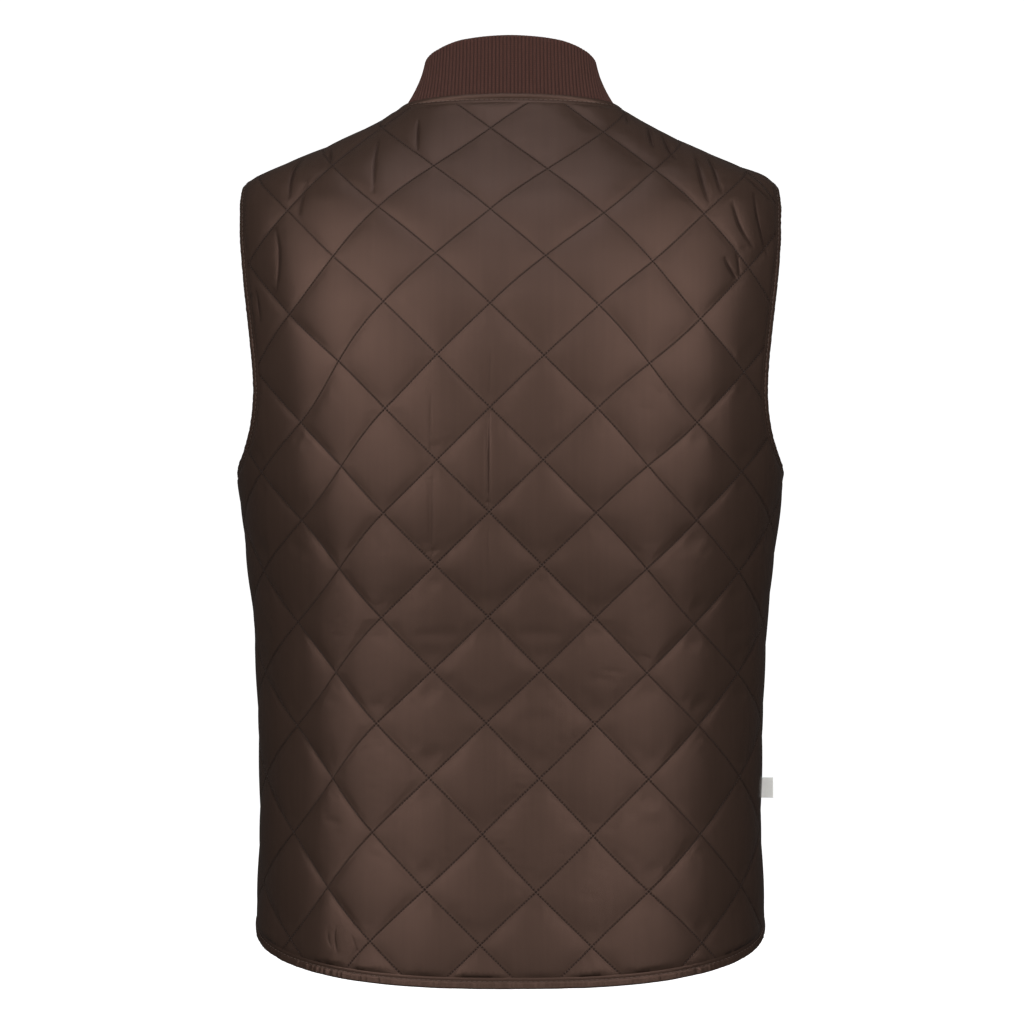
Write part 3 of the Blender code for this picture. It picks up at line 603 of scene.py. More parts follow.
# Creases placed one by one, from one end to the other as (x, height), with a sideways bend
Crease = namedtuple("Crease", "x1 z1 x2 z2 bend depth width")
BACK_CREASES = (
    Crease(-0.0834, -0.0085, -0.0850, -0.0180, 0.000, 0.0009, 0.0011),
    Crease(-0.0995, -0.0200, -0.1035, -0.0375, 0.001, 0.0014, 0.0013),
    Crease(-0.1097, -0.0265, -0.1195, -0.0460, 0.001, 0.0015, 0.0013),
    Crease(-0.1337, -0.0426, -0.1432, -0.0790, 0.002, 0.0014, 0.0016),
    Crease(-0.1424, -0.0419, -0.1520, -0.0703, 0.001, 0.0015, 0.0013),
    Crease(-0.1600, -0.0754, -0.1745, -0.1096, 0.004, 0.0013, 0.0014),
    Crease(-0.1752, -0.0674, -0.1854, -0.1154, 0.003, 0.0013, 0.0013),
    Crease(-0.1526, -0.1170, -0.1636, -0.1350, 0.001, 0.0013, 0.0014),
    Crease(-0.1620, -0.1096, -0.1650, -0.1350, 0.000, 0.0010, 0.0012),
    Crease(-0.1687, -0.0560, -0.1880, -0.0740, 0.000, 0.0009, 0.0011),
    Crease(0.1497, -0.0426, 0.1600, -0.0754, 0.001, 0.0015, 0.0014),
    Crease(0.1308, -0.0367, 0.1300, -0.0477, 0.000, 0.0011, 0.0011),
    Crease(0.0951, -0.0295, 0.0980, -0.0730, 0.001, 0.0010, 0.0011),
    Crease(0.0667, -0.0149, 0.0674, -0.0404, 0.000, 0.0013, 0.0010),
    Crease(0.1701, -0.0914, 0.1687, -0.1460, -0.005, 0.0011, 0.0013),
    Crease(0.1825, -0.1390, 0.1780, -0.1640, 0.000, 0.0010, 0.0013),
    Crease(0.1460, -0.0586, 0.1520, -0.0890, 0.001, 0.0009, 0.0017),
    Crease(0.0148, -0.2275, 0.0152, -0.3010, 0.0006, 0.0011, 0.0007),
    Crease(0.0172, -0.2330, 0.0165, -0.2990, 0.0005, 0.0003, 0.0007),
    Crease(0.0555, -0.2140, 0.0565, -0.2640, 0.0005, 0.0003, 0.0010),
    Crease(0.0545, -0.2700, 0.0555, -0.3360, 0.0003, 0.0004, 0.0009),
    Crease(0.0570, -0.2760, 0.0572, -0.3300, 0.0002, 0.0003, 0.0008),
    Crease(0.0150, -0.3080, 0.0160, -0.3420, 0.0003, 0.0003, 0.0010),
    Crease(0.0140, -0.1850, 0.0146, -0.2180, 0.0003, 0.0003, 0.0010),
    Crease(0.1230, -0.5960, 0.1215, -0.6170, 0.002, 0.0005, 0.0009),
    Crease(0.1130, -0.6020, 0.1085, -0.6205, -0.0015, 0.0005, 0.0009),
    Crease(0.1290, -0.6000, 0.1262, -0.6120, 0.001, 0.0004, 0.0009),
)
FRONT_CREASES = (
    Crease(0.1020, -0.0220, 0.1050, -0.0420, 0.001, 0.0013, 0.0013),
    Crease(0.1290, -0.0400, 0.1350, -0.0720, 0.001, 0.0014, 0.0014),
    Crease(0.1440, -0.0450, 0.1500, -0.0700, 0.001, 0.0013, 0.0013),
    Crease(0.1640, -0.0800, 0.1720, -0.1180, 0.004, 0.0011, 0.0014),
    Crease(0.1560, -0.1350, 0.1660, -0.1620, 0.002, 0.0010, 0.0014),
    Crease(0.0500, -0.0900, 0.0470, -0.1150, 0.001, 0.0009, 0.0012),
    Crease(0.0830, -0.2790, 0.0830, -0.3480, 0.001, 0.0007, 0.0011),
    Crease(0.1180, -0.5930, 0.1160, -0.6060, 0.000, 0.0009, 0.0012),
)


def crease_axes(crease, side):
    """A crease's start, direction, sideways direction and length on the flat cloth."""
    x = np.array([crease.x1, crease.x2])
    z = np.array([crease.z1, crease.z2])
    start, end = np.stack([np.sign(x) * across_at_x(np.abs(x), z, side), up_at(z, side)], axis=1)
    length = np.linalg.norm(end - start)
    along = (end - start) / length
    return start, along, np.array([-along[1], along[0]]), length


def crease_places(flat, crease, side):
    """Where flat points lie by a crease: the share of its length, its arc there, and widths away."""
    start, along, aside, length = crease_axes(crease, side)
    place = flat - start
    share = (place @ along) / length
    arc = np.sin(math.pi * np.clip(share, 0, 1))
    return share, arc, np.abs(place @ aside - crease.bend * arc) / crease.width


def crease_depth(flat, side, creases):
    """How far each flat point moves out for the creases: each a narrow fold in a broad low trough."""
    total = np.zeros(len(flat))
    for crease in creases:
        _, arc, away = crease_places(flat, crease, side)
        fold = CREASE_FOLD * np.exp(-(away**2))
        trough = CREASE_TROUGH * np.exp(-((away / CREASE_SPREAD) ** 2))
        total -= crease.depth * (fold + trough) * arc**CREASE_FADE
    return total


def crease_shade(flat, side, creases):
    """How far each flat point lies inside a fold, where little light gets in, from 0 to 1, painted as
    shade on the cloth.
    """
    shade = np.zeros(len(flat))
    for crease in creases:
        _, arc, away = crease_places(flat, crease, side)
        deep = min(1.0, crease.depth / DEEP_CREASE)
        shade = np.maximum(shade, deep * np.exp(-(away**2)) * arc**CREASE_FADE)
    return shade


def crease_points(side, creases):
    """Extra flat points along both sides of each crease."""
    made = []
    for crease in creases:
        start, along, aside, length = crease_axes(crease, side)
        for share in np.linspace(0.02, 0.98, max(4, round(length / CREASE_STEP))):
            middle = start + share * length * along + crease.bend * math.sin(math.pi * share) * aside
            made += [middle + away * crease.width * aside for away in CREASE_ROWS]
    return np.array(made)


def with_creases(flat, sewn, side, crossing, outline, creases):
    """The quilt's points with those near a crease replaced by the crease's own, and which are sewn."""
    near = np.zeros(len(flat), bool)
    for crease in creases:
        share, _, away = crease_places(flat, crease, side)
        near |= (share > 0) & (share < 1) & (away < CREASE_ROWS[-1] + 0.6)
    extra = crease_points(side, creases)
    u, v = ((even_places(extra, side) - crossing) / QUILT).T
    to_line = np.minimum(*(np.abs(n - np.round(n)) for n in (u + v, u - v))) * QUILT / math.sqrt(2)
    extra = extra[(to_line > FINE_MARGIN) & (distance_to_edge(extra, outline) > FINE_MARGIN)]
    kept = sewn | ~near
    return np.vstack([flat[kept], extra]), np.concatenate([sewn[kept], np.zeros(len(extra), bool)])


def rumple(points, size, seed):
    """Soft uneven noise at each point, from -1 to 1, of about that size in metres."""
    offset = Vector((seed * 7.3, seed * 3.1, seed * 5.7))
    return np.array([noise.noise(Vector(p) / size + offset) for p in points])


def seam_fade(flat, side):
    """Share of the puff that is left at flat points, less near the side and shoulder seams."""
    heights, run = PROFILES[side]
    to_seam = np.interp(flat[:, 1], run, quarter(heights, side)) - np.abs(flat[:, 0])
    share = np.clip(to_seam / SEAM_PRESS, 0, 1)
    return SEAM_PUFF + (1 - SEAM_PUFF) * share * share * (3 - 2 * share)


def outer_wall(name, side, crossing, outline, creases):
    """A panel's outer side, puffed between quilt lines: points, faces, flat places, shade in folds."""
    quilt, index = quilt_lattice(outline, crossing, FINE_STEPS, FINE_MARGIN, side)
    on_line = (index % FINE_STEPS == 0).any(axis=1)
    quilt, on_line = with_creases(quilt, on_line, side, crossing, outline, creases)
    flat = np.vstack([outline, quilt])
    sewn = np.concatenate([np.ones(len(outline), bool), on_line])
    base, normals = surface(flat[:, 0], height_at(flat[:, 1], side), side)
    u, v = ((even_places(flat, side) - crossing) / QUILT).T
    swell = np.abs(np.sin(math.pi * (u + v)) * np.sin(math.pi * (u - v))) ** LOFT_POWER
    swell[: len(outline)] = 0
    uneven = 1 + UNEVEN_LOFT * rumple(base, UNEVEN_SIZE, side + 3)
    wall = base + normals * WALL
    start = wall + normals * (LOFT_START * swell * uneven)[:, None]
    faces = triangulated(outline, quilt)
    if side == BACK:
        faces = [face[::-1] for face in faces]
    puffed = inflated(name, start, faces, sewn)
    puffed = wall + (puffed - wall) * seam_fade(flat, side)[:, None]
    puffed = puffed + normals * (crease_depth(flat, side, creases) * ~sewn)[:, None]
    return puffed, faces, flat, crease_shade(flat, side, creases) * ~sewn


def quilted_wall(name, side, crossing, creases):
    """A quilted panel with a plain lining: points, faces, flat places and the shade in its folds."""
    outline = flat_outline(side)
    puffed, faces, flat, shade = outer_wall(name, side, crossing, outline, creases)
    inner, _ = quilt_lattice(outline, crossing, LINING_STEPS, LINING_MARGIN, side)
    flat_in = np.vstack([outline, inner])
    lining, _ = surface(flat_in[:, 0], height_at(flat_in[:, 1], side), side)
    inside = triangulated(outline, inner)
    if side == FRONT:
        inside = [face[::-1] for face in inside]
    first, count = len(flat), len(outline)
    faces = faces + shifted(inside, first)
    for i in range(count):
        j = (i + 1) % count
        faces.append([j, i, i + first, j + first])
    shade = np.concatenate([shade, np.zeros(len(flat_in))])
    return np.vstack([puffed, lining]), faces, np.vstack([flat, flat_in]), shade


def stitch_mesh(centres, along, out, length=STITCH_LENGTH):
    """One mesh of thread stitches that rise out of the cloth and dive back into it."""
    aside = np.cross(out, along)
    # Each ring's place along a stitch, its thickness, and its lift in thread radii
    rings = ((-1.0, 0.35, -0.6), (-0.55, 1.0, 0.25), (0.55, 1.0, 0.25), (1.0, 0.35, -0.6))
    corners = [(math.cos(a), math.sin(a)) for a in np.arange(4) * math.pi / 2 + math.pi / 4]
    made = []
    for place, thick, lift in rings:
        for across, up in corners:
            reach = STITCH_RADIUS * np.array([across * thick, up * thick + lift])
            made.append(centres + along * (place * length / 2) + aside * reach[0] + out * reach[1])
    points = np.stack(made, axis=1).reshape(-1, 3)
    pattern = ring_faces(len(rings), len(corners))
    first = len(made) * np.arange(len(centres))[:, None, None]
    return points, (np.array(pattern)[None] + first).reshape(-1, 4).tolist()


def quilt_places(even, side):
    """Points on the lining, and outward directions, at even places of the quilt."""
    flat = even + stray(even, side)
    return surface(flat[:, 0], height_at(flat[:, 1], side), side)


def quilt_stitches(side, crossing):
    """Centres, directions and outward directions of the stitches along a panel's quilt lines."""
    outline = flat_outline(side)
    span = quilt_span(outline, crossing)
    run = (np.arange(-span * STITCHES_PER_SIDE, span * STITCHES_PER_SIDE) + 0.5) / STITCHES_PER_SIDE
    line, at = (grid.ravel() for grid in np.meshgrid(np.arange(-span, span + 1), run))
    nudge = 0.0005 / math.sqrt(2)
    found = []
    for first, second, ahead in ((line, at, (nudge, -nudge)), (at, line, (nudge, nudge))):
        even = np.stack([first + second, first - second], axis=1) * (QUILT / 2) + crossing
        even = even[inside_outline(even + stray(even, side), outline, STITCH_MARGIN)]
        here, out = quilt_places(even, side)
        there, _ = quilt_places(even + ahead, side)
        found.append((here + out * (WALL + STITCH_LIFT), unit(there - here), out))
    return [np.vstack(parts) for parts in zip(*found)]


# Narrow pieces along a line on the surface

def eased(points, rounds, closed=False):
    """The same line with its corners rounded off."""
    for _ in range(rounds):
        middle = (np.roll(points, 1, axis=0) + 2 * points + np.roll(points, -1, axis=0)) / 4
        if not closed:
            middle[0], middle[-1] = points[0], points[-1]
        points = middle
    return points


def line_frames(places, closed, rounds=0):
    """Points, outward, sideways and forward directions along a line of (across, height, side) rows."""
    points, normals = (eased(found, rounds, closed) for found in surface(*places.T))
    normals = unit(normals)
    if closed:
        along = unit(np.roll(points, -1, axis=0) - np.roll(points, 1, axis=0))
    else:
        along = unit(np.gradient(points, axis=0))
    return points, normals, unit(np.cross(normals, along)), along


def with_side(line, side):
    return np.column_stack([line, np.full(len(line), side)])


def armhole_loop(count):
    back = with_side(armhole_line(BACK, count), BACK)
    front = with_side(armhole_line(FRONT, count), FRONT)
    return np.vstack([back, front[-2:0:-1]])


def open_loop(back, front):
    left = np.vstack([with_side(front, FRONT), with_side(back[1:], BACK)])
    return np.vstack([left, left[-2::-1] * (-1, 1, 1)])


def neck_loop(count):
    return open_loop(neck_line(BACK, count)[::-1], neck_line(FRONT, count))


def hem_loop(count):
    return open_loop(hem_line(BACK, count), hem_line(FRONT, count)[::-1])


def band_section(width):
    """A turned edge: an end tucked into the panel, a sewn groove, a soft roll, and the plain inside."""
    radius = BAND_HEIGHT / 2
    top = np.array(
        [
            (-0.0012, 0.0006),
            (-0.0012, WALL - 0.0004),
            (-0.0002, WALL),
            (0.0005, WALL + 0.0001),
            (STITCH_LINE - 0.0008, WALL + 0.0001),
            (STITCH_LINE, WALL - 0.0003),
            (STITCH_LINE + 0.0007, (WALL + BAND_HEIGHT) / 2),
            (STITCH_LINE + ROLL_START, BAND_HEIGHT),
            (width - radius, BAND_HEIGHT - 0.0001),
        ]
    )
    turn = np.linspace(math.pi / 2, -math.pi / 2, 9)[1:]
    roll = np.stack([width - radius + radius * np.cos(turn), radius + radius * np.sin(turn)], axis=1)
    inside = np.array([(0.0036, -0.0001), (0.0015, 0.0001)])
    return np.vstack([top, roll, inside])


def add_band(name, places, width, closed, flip, material, gather, roll, seed):
    """A turned edge with uneven gathers, and the row of stitches that holds it."""
    points, normals, sideways, along = line_frames(places, closed, rounds=8)
    sideways = sideways * flip
    section = band_section(width)
    soft = np.clip((section[:, 0] - STITCH_LINE) / ROLL_START, 0, 1) * (section[:, 1] > WALL / 2)
    wave = rumple(points, GATHER_SIZE, seed) + 0.5 * rumple(points, GATHER_DRIFT, seed + 1)
    middle = np.clip(1 - (points[:, 0] / NECK_ROLL_REACH) ** 2, 0, 1) * (points[:, 1] > 0)
    level = section[:, 1] + (gather * wave + roll * middle)[:, None] * soft
    reach = section[:, 0] + 0.4 * gather * rumple(points, EDGE_DRIFT, seed + 2)[:, None] * soft
    made = (
        points[:, None] + reach[..., None] * sideways[:, None] + level[..., None] * normals[:, None]
    )
    faces = ring_faces(len(points), len(section), closed)
    obj = add_object(name + "_cloth", made.reshape(-1, 3), faces, material, "shell", [name])
    face_outward(obj.data)
    girth = run_along(section)
    length = run_along(points)
    flat = np.stack(np.meshgrid(length, girth, indexing="ij"), axis=-1).reshape(-1, 2)
    set_uv(obj.data, flat)
    at = np.arange(0.5 * HEM_STITCH_PITCH, length[-1], HEM_STITCH_PITCH)
    sewn = points + STITCH_LINE * sideways + (WALL + STITCH_LIFT) * normals
    return obj, [resampled(v, length, at) for v in (sewn, along, normals)]


# Rib collar

def collar_seam(count):
    places = open_loop(neck_corners(BACK)[::-1], neck_corners(FRONT))
    points, normals, sideways, _ = line_frames(places, closed=False)
    seam = points + (BAND_WIDTH + SEAM_GAP) * sideways + BAND_HEIGHT / 2 * normals
    run = run_along(seam)
    at = np.linspace(0, run[-1], count)
    even = eased(resampled(seam, run, at), count // 3)
    front, back = np.linspace(180, 90, NECK_CORNERS[FRONT]), np.linspace(90, 0, NECK_CORNERS[BACK])
    half = np.concatenate([front, back[1:]])
    return even, np.interp(at, run, np.concatenate([half, half[-2::-1]])), at


def collar_frame(seam, angles):
    along = np.gradient(seam, axis=0)
    inward = unit(np.cross((0, 0, 1), along))
    rise = smooth_table(COLLAR, "rise", angles)[:, None]
    lean = smooth_table(COLLAR, "lean", angles)[:, None]
    stand = rise * np.array([0, 0, 1]) + lean * inward
    return stand, unit(np.cross(along, stand))


def collar_rows(seam, angles):
    """Rows of points along the collar, from its outer foot over the fold at the top to its inner foot."""
    stand, out = collar_frame(seam, angles)
    upward = unit(stand)
    half = COLLAR_THICKNESS / 2
    base = seam - (half + RIB_HEIGHT) * out
    phase = np.arange(len(seam)) / COLUMNS_PER_RIB
    ridge = np.abs(np.sin(math.pi * phase)) ** RIB_ROUNDNESS
    drift = COLLAR_DRIFT * rumple(seam, COLLAR_DRIFT_SIZE, 11)
    fold = 1 - half / COLLAR_TALL
    outside, top, inside = 20, 7, 12
    shares = np.concatenate(
        [np.linspace(0, fold, outside), np.full(top, fold), np.linspace(fold, 0, inside)]
    )
    over = np.linspace(0, math.pi, top + 2)[1:-1]
    turns = np.concatenate([np.zeros(outside), over, np.full(inside, math.pi)])
    rows = []
    for share, turn in zip(shares, turns):
        bow = -COLLAR_HOLLOW * 4 * share * (1 - share) + drift * share
        flatter = 1.15 - 0.35 * share
        thick = half + RIB_HEIGHT * flatter * ridge
        height = share * stand + half * math.sin(turn) * upward
        rows.append(base + height + (thick * math.cos(turn) + bow)[:, None] * out)
    return rows


def add_collar(material):
    """Folded rib knit: rounded ribs outside and inside, which run over the fold at the top."""
    columns = COLUMNS_PER_RIB * RIB_COUNT + 1
    seam, angles, run = collar_seam(columns)
    rows = collar_rows(seam, angles)
    points = np.stack(rows, axis=1).reshape(-1, 3)
    faces = ring_faces(columns, len(rows))
    obj = add_object("collar_knit", points, faces, material, "rib", ["collar_rib"])
    face_outward(obj.data)
    up = run_along(np.array([row[columns // 2] for row in rows]))
    set_uv(obj.data, np.stack(np.meshgrid(run, up, indexing="ij"), axis=-1).reshape(-1, 2))
    return obj, float(run[-1]), float(up[-1])


# Zip

def zip_line(heights):
    return surface(np.zeros(len(heights)), heights, FRONT)


def add_tape(name, left, right, material):
    heights = np.linspace(CHAIN_TOP, CHAIN_BOTTOM, 240)
    points, normals = zip_line(heights)
    low, high = TAPE_LEVELS
    x = np.linspace(left, right, 6)
    section = [(e, high) for e in x] + [(e, low) for e in x[::-1]]
    made = [p + np.array((e, 0, 0)) + h * n for p, n in zip(points, normals) for e, h in section]
    faces = ring_faces(len(points), len(section))
    obj = add_object(name + "_cloth", made, faces, material, "zip_tape", [name], smooth=False)
    face_outward(obj.data)
    run = run_along(points)
    set_uv(obj.data, [(e, s) for s in run for e, _ in section])


def add_teeth(material):
    """Closed zip teeth: hooked blocks from each side that lie between each other."""
    points, normals = zip_line(np.linspace(CHAIN_TOP, CHAIN_BOTTOM, 600))
    run = run_along(points)
    at = np.arange(TOOTH_PITCH / 2, run[-1] - TOOTH_PITCH / 4, TOOTH_PITCH / 2)
    half = CHAIN_WIDTH / 2
    low, high = CHAIN_LEVELS
    middle, thick = (low + high) / 2, (high - low) / 2
    outline = ((-half, 0.30), (-0.0008, 0.42), (0.0006, 0.46), (0.0012, 0.30), (0.0006, 0.10))
    loop = [(x, d * TOOTH_PITCH / 2) for x, d in outline]
    loop += [(x, -d) for x, d in reversed(loop)]
    rings = ((-1.0, 0.72), (-0.7, 1.0), (0.7, 1.0), (1.0, 0.72))
    pattern = ring_faces(len(rings), len(loop))
    sides = np.where(np.arange(len(at)) % 2, 1, -1)
    made, faces = [], []
    for here, out, flip in zip(resampled(points, run, at), resampled(normals, run, at), sides):
        down = np.cross(out, (1.0, 0.0, 0.0))
        faces += shifted(pattern, len(made))
        for level, share in rings:
            raised = here + (middle + level * thick) * out
            made += [raised + (flip * x * share, 0, 0) + d * share * down for x, d in loop]
    obj = add_object("zip_teeth", made, faces, material, "zip_teeth", ["zip_chain"], smooth=False)
    face_outward(obj.data)


def zip_axes(height):
    place, out = (v[0] for v in zip_line(np.array([height])))
    return place, out, np.cross((1.0, 0.0, 0.0), out)


def placed(corners, height):
    """World points of (across, down, out) corners at a height on the zip."""
    place, out, down = zip_axes(height)
    down = down if down[2] < 0 else -down
    return [place + np.array((x, 0, 0)) + d * down + o * out for x, d, o in corners]


def rounded_rim(half_top, half_low, start, end, corner, steps=5):
    """Outline of a plate as (across, down), wider at its top, with round corners."""
    centres = (
        (half_top - corner, start + corner, -90),
        (half_low - corner, end - corner, 0),
        (-half_low + corner, end - corner, 90),
        (-half_top + corner, start + corner, 180),
    )
    rim = []
    for x, d, first in centres:
        for turn in np.radians(np.linspace(first, first + 90, steps)):
            rim.append((x + corner * math.cos(turn), d + corner * math.sin(turn)))
    return rim


def lofted(parts, height):
    """Points and faces of closed lofts through loops of corners, placed at a height on the zip."""
    made, faces = [], []
    for loops in parts:
        faces += shifted(ring_faces(len(loops), len(loops[0])), len(made))
        made += placed([corner for loop in loops for corner in loop], height)
    return made, faces


def pillowed(rim, low, high, edge):
    """Loops of a plate with softened edges, between two levels."""
    centre = np.mean(rim, axis=0)
    reach = np.abs(np.array(rim) - centre).max(axis=0)
    loops = []
    rounding = (high - edge * 0.3, edge * 0.35)
    for level, inset in ((low, edge), (low + edge, 0), (high - edge, 0), rounding, (high, edge)):
        share = 1 - inset / reach
        loops.append([(*(centre + (np.array(p) - centre) * share), level) for p in rim])
    return loops


def bail_rings(base):
    """Rings along the arch that holds the pull, which stands on a level of the slider."""
    turns = np.linspace(0, math.pi, 15)
    drop = np.abs(np.cos(turns)) ** 3 * (BAIL_HOLE + 0.0008)
    arch = np.stack([-BAIL_REACH * np.cos(turns), base + BAIL_HOLE + BAIL_HALF_HEIGHT - drop], axis=1)
    run = unit(np.gradient(arch, axis=0))
    rings = []
    for (d, o), (run_down, run_out) in zip(arch, run):
        ring = []
        for turn in np.arange(10) * math.tau / 10:
            up = BAIL_HALF_HEIGHT * math.sin(turn)
            ring.append((BAIL_HALF_WIDTH * math.cos(turn), d - up * run_out, o + up * run_down))
        rings.append(ring)
    return rings


def add_slider(material):
    """Slider plate with a raised rail on each side, and the bail that holds the pull."""
    low, high = SLIDER_LEVELS
    rim = rounded_rim(half_top=0.00425, half_low=0.0034, start=-0.0055, end=0.0055, corner=0.0014)
    parts = [pillowed(rim, low, high, edge=0.0004)]
    for x in (-0.0030, 0.0030):
        rail = rounded_rim(0.0005, 0.0005, start=-0.0045, end=0.0040, corner=0.0004, steps=3)
        slanted = [(a + x * (1 - 12 * d), d) for a, d in rail]
        parts.append(pillowed(slanted, high - 0.0003, high + 0.0004, 0.0002))
    parts.append(bail_rings(high))
    made, faces = lofted(parts, SLIDER_PLACE)
    obj = add_object("slider_metal", made, faces, material, "zip_metal", ["zip_slider"])
    face_outward(obj.data)
    obj.data.set_sharp_from_angle(angle=METAL_EDGE)


def add_pull(material):
    """Pull with an eye that turns in the bail, a framed plate and grip ridges."""
    level = SLIDER_LEVELS[1] + BAIL_HOLE / 2
    half, eye, bar = PULL_WIDTH / 2, PULL_EYE_WIDTH / 2, PULL_THICKNESS / 2
    top, bottom = PULL_PIVOT - bar, PULL_PIVOT + PULL_LENGTH
    middle = (top + bottom) / 2
    outer = rounded_rim(eye + 0.0011, half, top, bottom, 0.0011, 7)
    inner = rounded_rim(eye, eye, PULL_PIVOT + bar, PULL_PIVOT + PULL_EYE_LENGTH, 0.0005, 7)
    rings = []
    for edge, out in ((0.0002, -bar), (0, -bar * 0.5), (0, bar * 0.5), (0.0002, bar)):
        narrow = 1 - edge / half
        rings.append([(x * narrow, d - np.sign(d - middle) * edge, level + out) for x, d in outer])
    for out in (bar, -bar):
        rings.append([(x, d, level + out) for x, d in inner])
    made = placed([corner for ring in rings for corner in ring], SLIDER_PLACE)
    faces = ring_faces(len(rings), len(outer), closed=True)
    ridges = []
    for n in range(6):
        d = bottom - 0.0030 - n * 0.0016
        ridge = rounded_rim(half - 0.0011, half - 0.0011, d - 0.0004, d + 0.0004, 0.0003, 3)
        ridges.append(pillowed(ridge, level + bar - 0.0002, level + bar + 0.0003, 0.00015))
    grip, grip_faces = lofted(ridges, SLIDER_PLACE)
    faces += shifted(grip_faces, len(made))
    obj = add_object("pull_metal", made + grip, faces, material, "zip_metal", ["zip_pull"], body="pull")
    face_outward(obj.data)
    obj.data.set_sharp_from_angle(angle=METAL_EDGE)


def add_zip_box(material):
    middle = CHAIN_BOTTOM - SEAM_GAP - 0.0045
    rim = rounded_rim(half_top=0.0039, half_low=0.0036, start=-0.0045, end=0.0045, corner=0.0010)
    made, faces = lofted([pillowed(rim, low=-0.0006, high=0.0030, edge=0.0006)], middle)
    obj = add_object("zip_foot", made, faces, material, "zip_teeth", ["zip_box"])
    face_outward(obj.data)
    obj.data.set_sharp_from_angle(angle=METAL_EDGE)


def add_tab(material):
    """Folded woven tab with a soft fold at its outer edge, bare."""
    root = -(half_width(np.array([TAB_HEIGHT]))[0] + WALL + SEAM_GAP)
    half = TAB_THICK / 2
    turn = np.linspace(-math.pi / 2, math.pi / 2, 7)
    fold = [(root - TAB_REACH + half - half * math.cos(t), half * math.sin(t)) for t in turn]
    loop = [(x, -half) for x in np.linspace(root, root - TAB_REACH + half, 9)[:-1]] + fold
    loop += [(x, half) for x in np.linspace(root - TAB_REACH + half, root, 9)[1:]]
    rows = 16
    made, flat = [], []
    around = run_along(np.array(loop))
    for r in range(rows):
        share = r / (rows - 1)
        z = TAB_HEIGHT + TAB_TALL * (share - 0.5)
        for (x, y), s in zip(loop, around):
            curl = 0.0006 * ((x - root) / TAB_REACH) ** 2 * math.sin(2.2 * share + 0.4)
            made.append((x, y + curl, z))
            flat.append((s, share * TAB_TALL))
    faces = ring_faces(rows, len(loop))
    obj = add_object("tab_woven", made, faces, material, "tab", ["side_tab"])
    face_outward(obj.data)
    obj.data.set_sharp_from_angle(angle=TAB_EDGE)
    set_uv(obj.data, flat)


# Materials

class Graph:
    """A short way to build one material's nodes."""

    def __init__(self, name):
        self.material = bpy.data.materials.new(name)
        self.material.use_nodes = True
        self.tree = self.material.node_tree
        self.shader = self.tree.nodes["Principled BSDF"]

    def put(self, socket, value):
        if isinstance(value, bpy.types.NodeSocket):
            self.tree.links.new(value, socket)
        else:
            socket.default_value = value

    def node(self, kind, inputs=(), **settings):
        made = self.tree.nodes.new(kind)
        for key, value in settings.items():
            setattr(made, key, value)
        for key, value in dict(inputs).items():
            self.put(made.inputs[key], value)
        return made

    def math(self, operation, *values):
        made = self.node("ShaderNodeMath", operation=operation)
        for socket, value in zip(made.inputs, values):
            self.put(socket, value)
        return made.outputs[0]

    def times(self, first, second):
        return self.math("MULTIPLY", first, second)

    def plus(self, first, second):
        return self.math("ADD", first, second)

    def minus(self, first, second):
        return self.math("SUBTRACT", first, second)

    def ramp(self, value, low, high, start=0.0, end=1.0):
        inputs = {"Value": value, "From Min": low, "From Max": high, "To Min": start, "To Max": end}
        return self.node("ShaderNodeMapRange", inputs, clamp=True).outputs[0]

    def noise(self, vector, scale, detail=3.0):
        inputs = {"Vector": vector, "Scale": scale, "Detail": detail, "Roughness": 0.55}
        return self.node("ShaderNodeTexNoise", inputs).outputs["Fac"]

    def mix(self, share, first, second):
        made = self.node("ShaderNodeMix", data_type="RGBA")
        self.put(made.inputs[0], share)
        self.put(made.inputs[6], first)
        self.put(made.inputs[7], second)
        return made.outputs[2]

    def position(self):
        return self.node("ShaderNodeNewGeometry").outputs["Position"]

    def cloth_place(self, name="cloth"):
        """Flat cloth place in metres: the pair as a vector, then across and up."""
        uv = self.node("ShaderNodeUVMap", uv_map=name).outputs[0]
        parts = self.node("ShaderNodeSeparateXYZ", {0: uv})
        return uv, parts.outputs[0], parts.outputs[1]

    def stretched(self, vector, across, up):
        inputs = {0: vector, 1: (across, up, 1.0)}
        return self.node("ShaderNodeVectorMath", inputs, operation="MULTIPLY").outputs[0]

    def set(self, **sockets):
        for key, value in sockets.items():
            self.put(self.shader.inputs[key.replace("_", " ")], value)

    def bump(self, height, strength, distance):
        inputs = {"Height": height, "Strength": strength, "Distance": distance}
        self.put(self.shader.inputs["Normal"], self.node("ShaderNodeBump", inputs).outputs[0])


def weave_height(graph, across, up, pitch):
    """Plain weave: yarns in both directions that pass over and under each other."""
    turn = math.tau / pitch
    warp = graph.math("SINE", graph.times(across, turn))
    weft = graph.math("SINE", graph.times(up, turn))
    return graph.times(warp, weft)


SHELL = (0.040, 0.0243, 0.0182, 1)
SHELL_DEEP = (0.035, 0.0211, 0.0158, 1)
SHELL_SLUB = (0.047, 0.0292, 0.0221, 1)
# Painted shade: the colour that the sewn grooves, needle holes and crease folds are darkened towards
PAINTED_SHADE_DARK = (0.004, 0.0026, 0.0021, 1)
SHELL_WEAVE = 0.0005
SHELL_GLOSS = (0.22, 0.265)  # roughness, kept under 0.27, where the denoiser draws contours
RIB_YARN = (0.067, 0.0270, 0.0198, 1)
RIB_YARN_DEEP = (0.047, 0.0186, 0.0136, 1)
# Painted shade in the grooves between ribs and in the gaps between knit loops
RIB_GROOVE_SHADE = (0.013, 0.0065, 0.0055, 1)
RIB_LOOP_GAP_SHADE = (0.026, 0.012, 0.010, 1)
RIB_LOOP = 0.0016


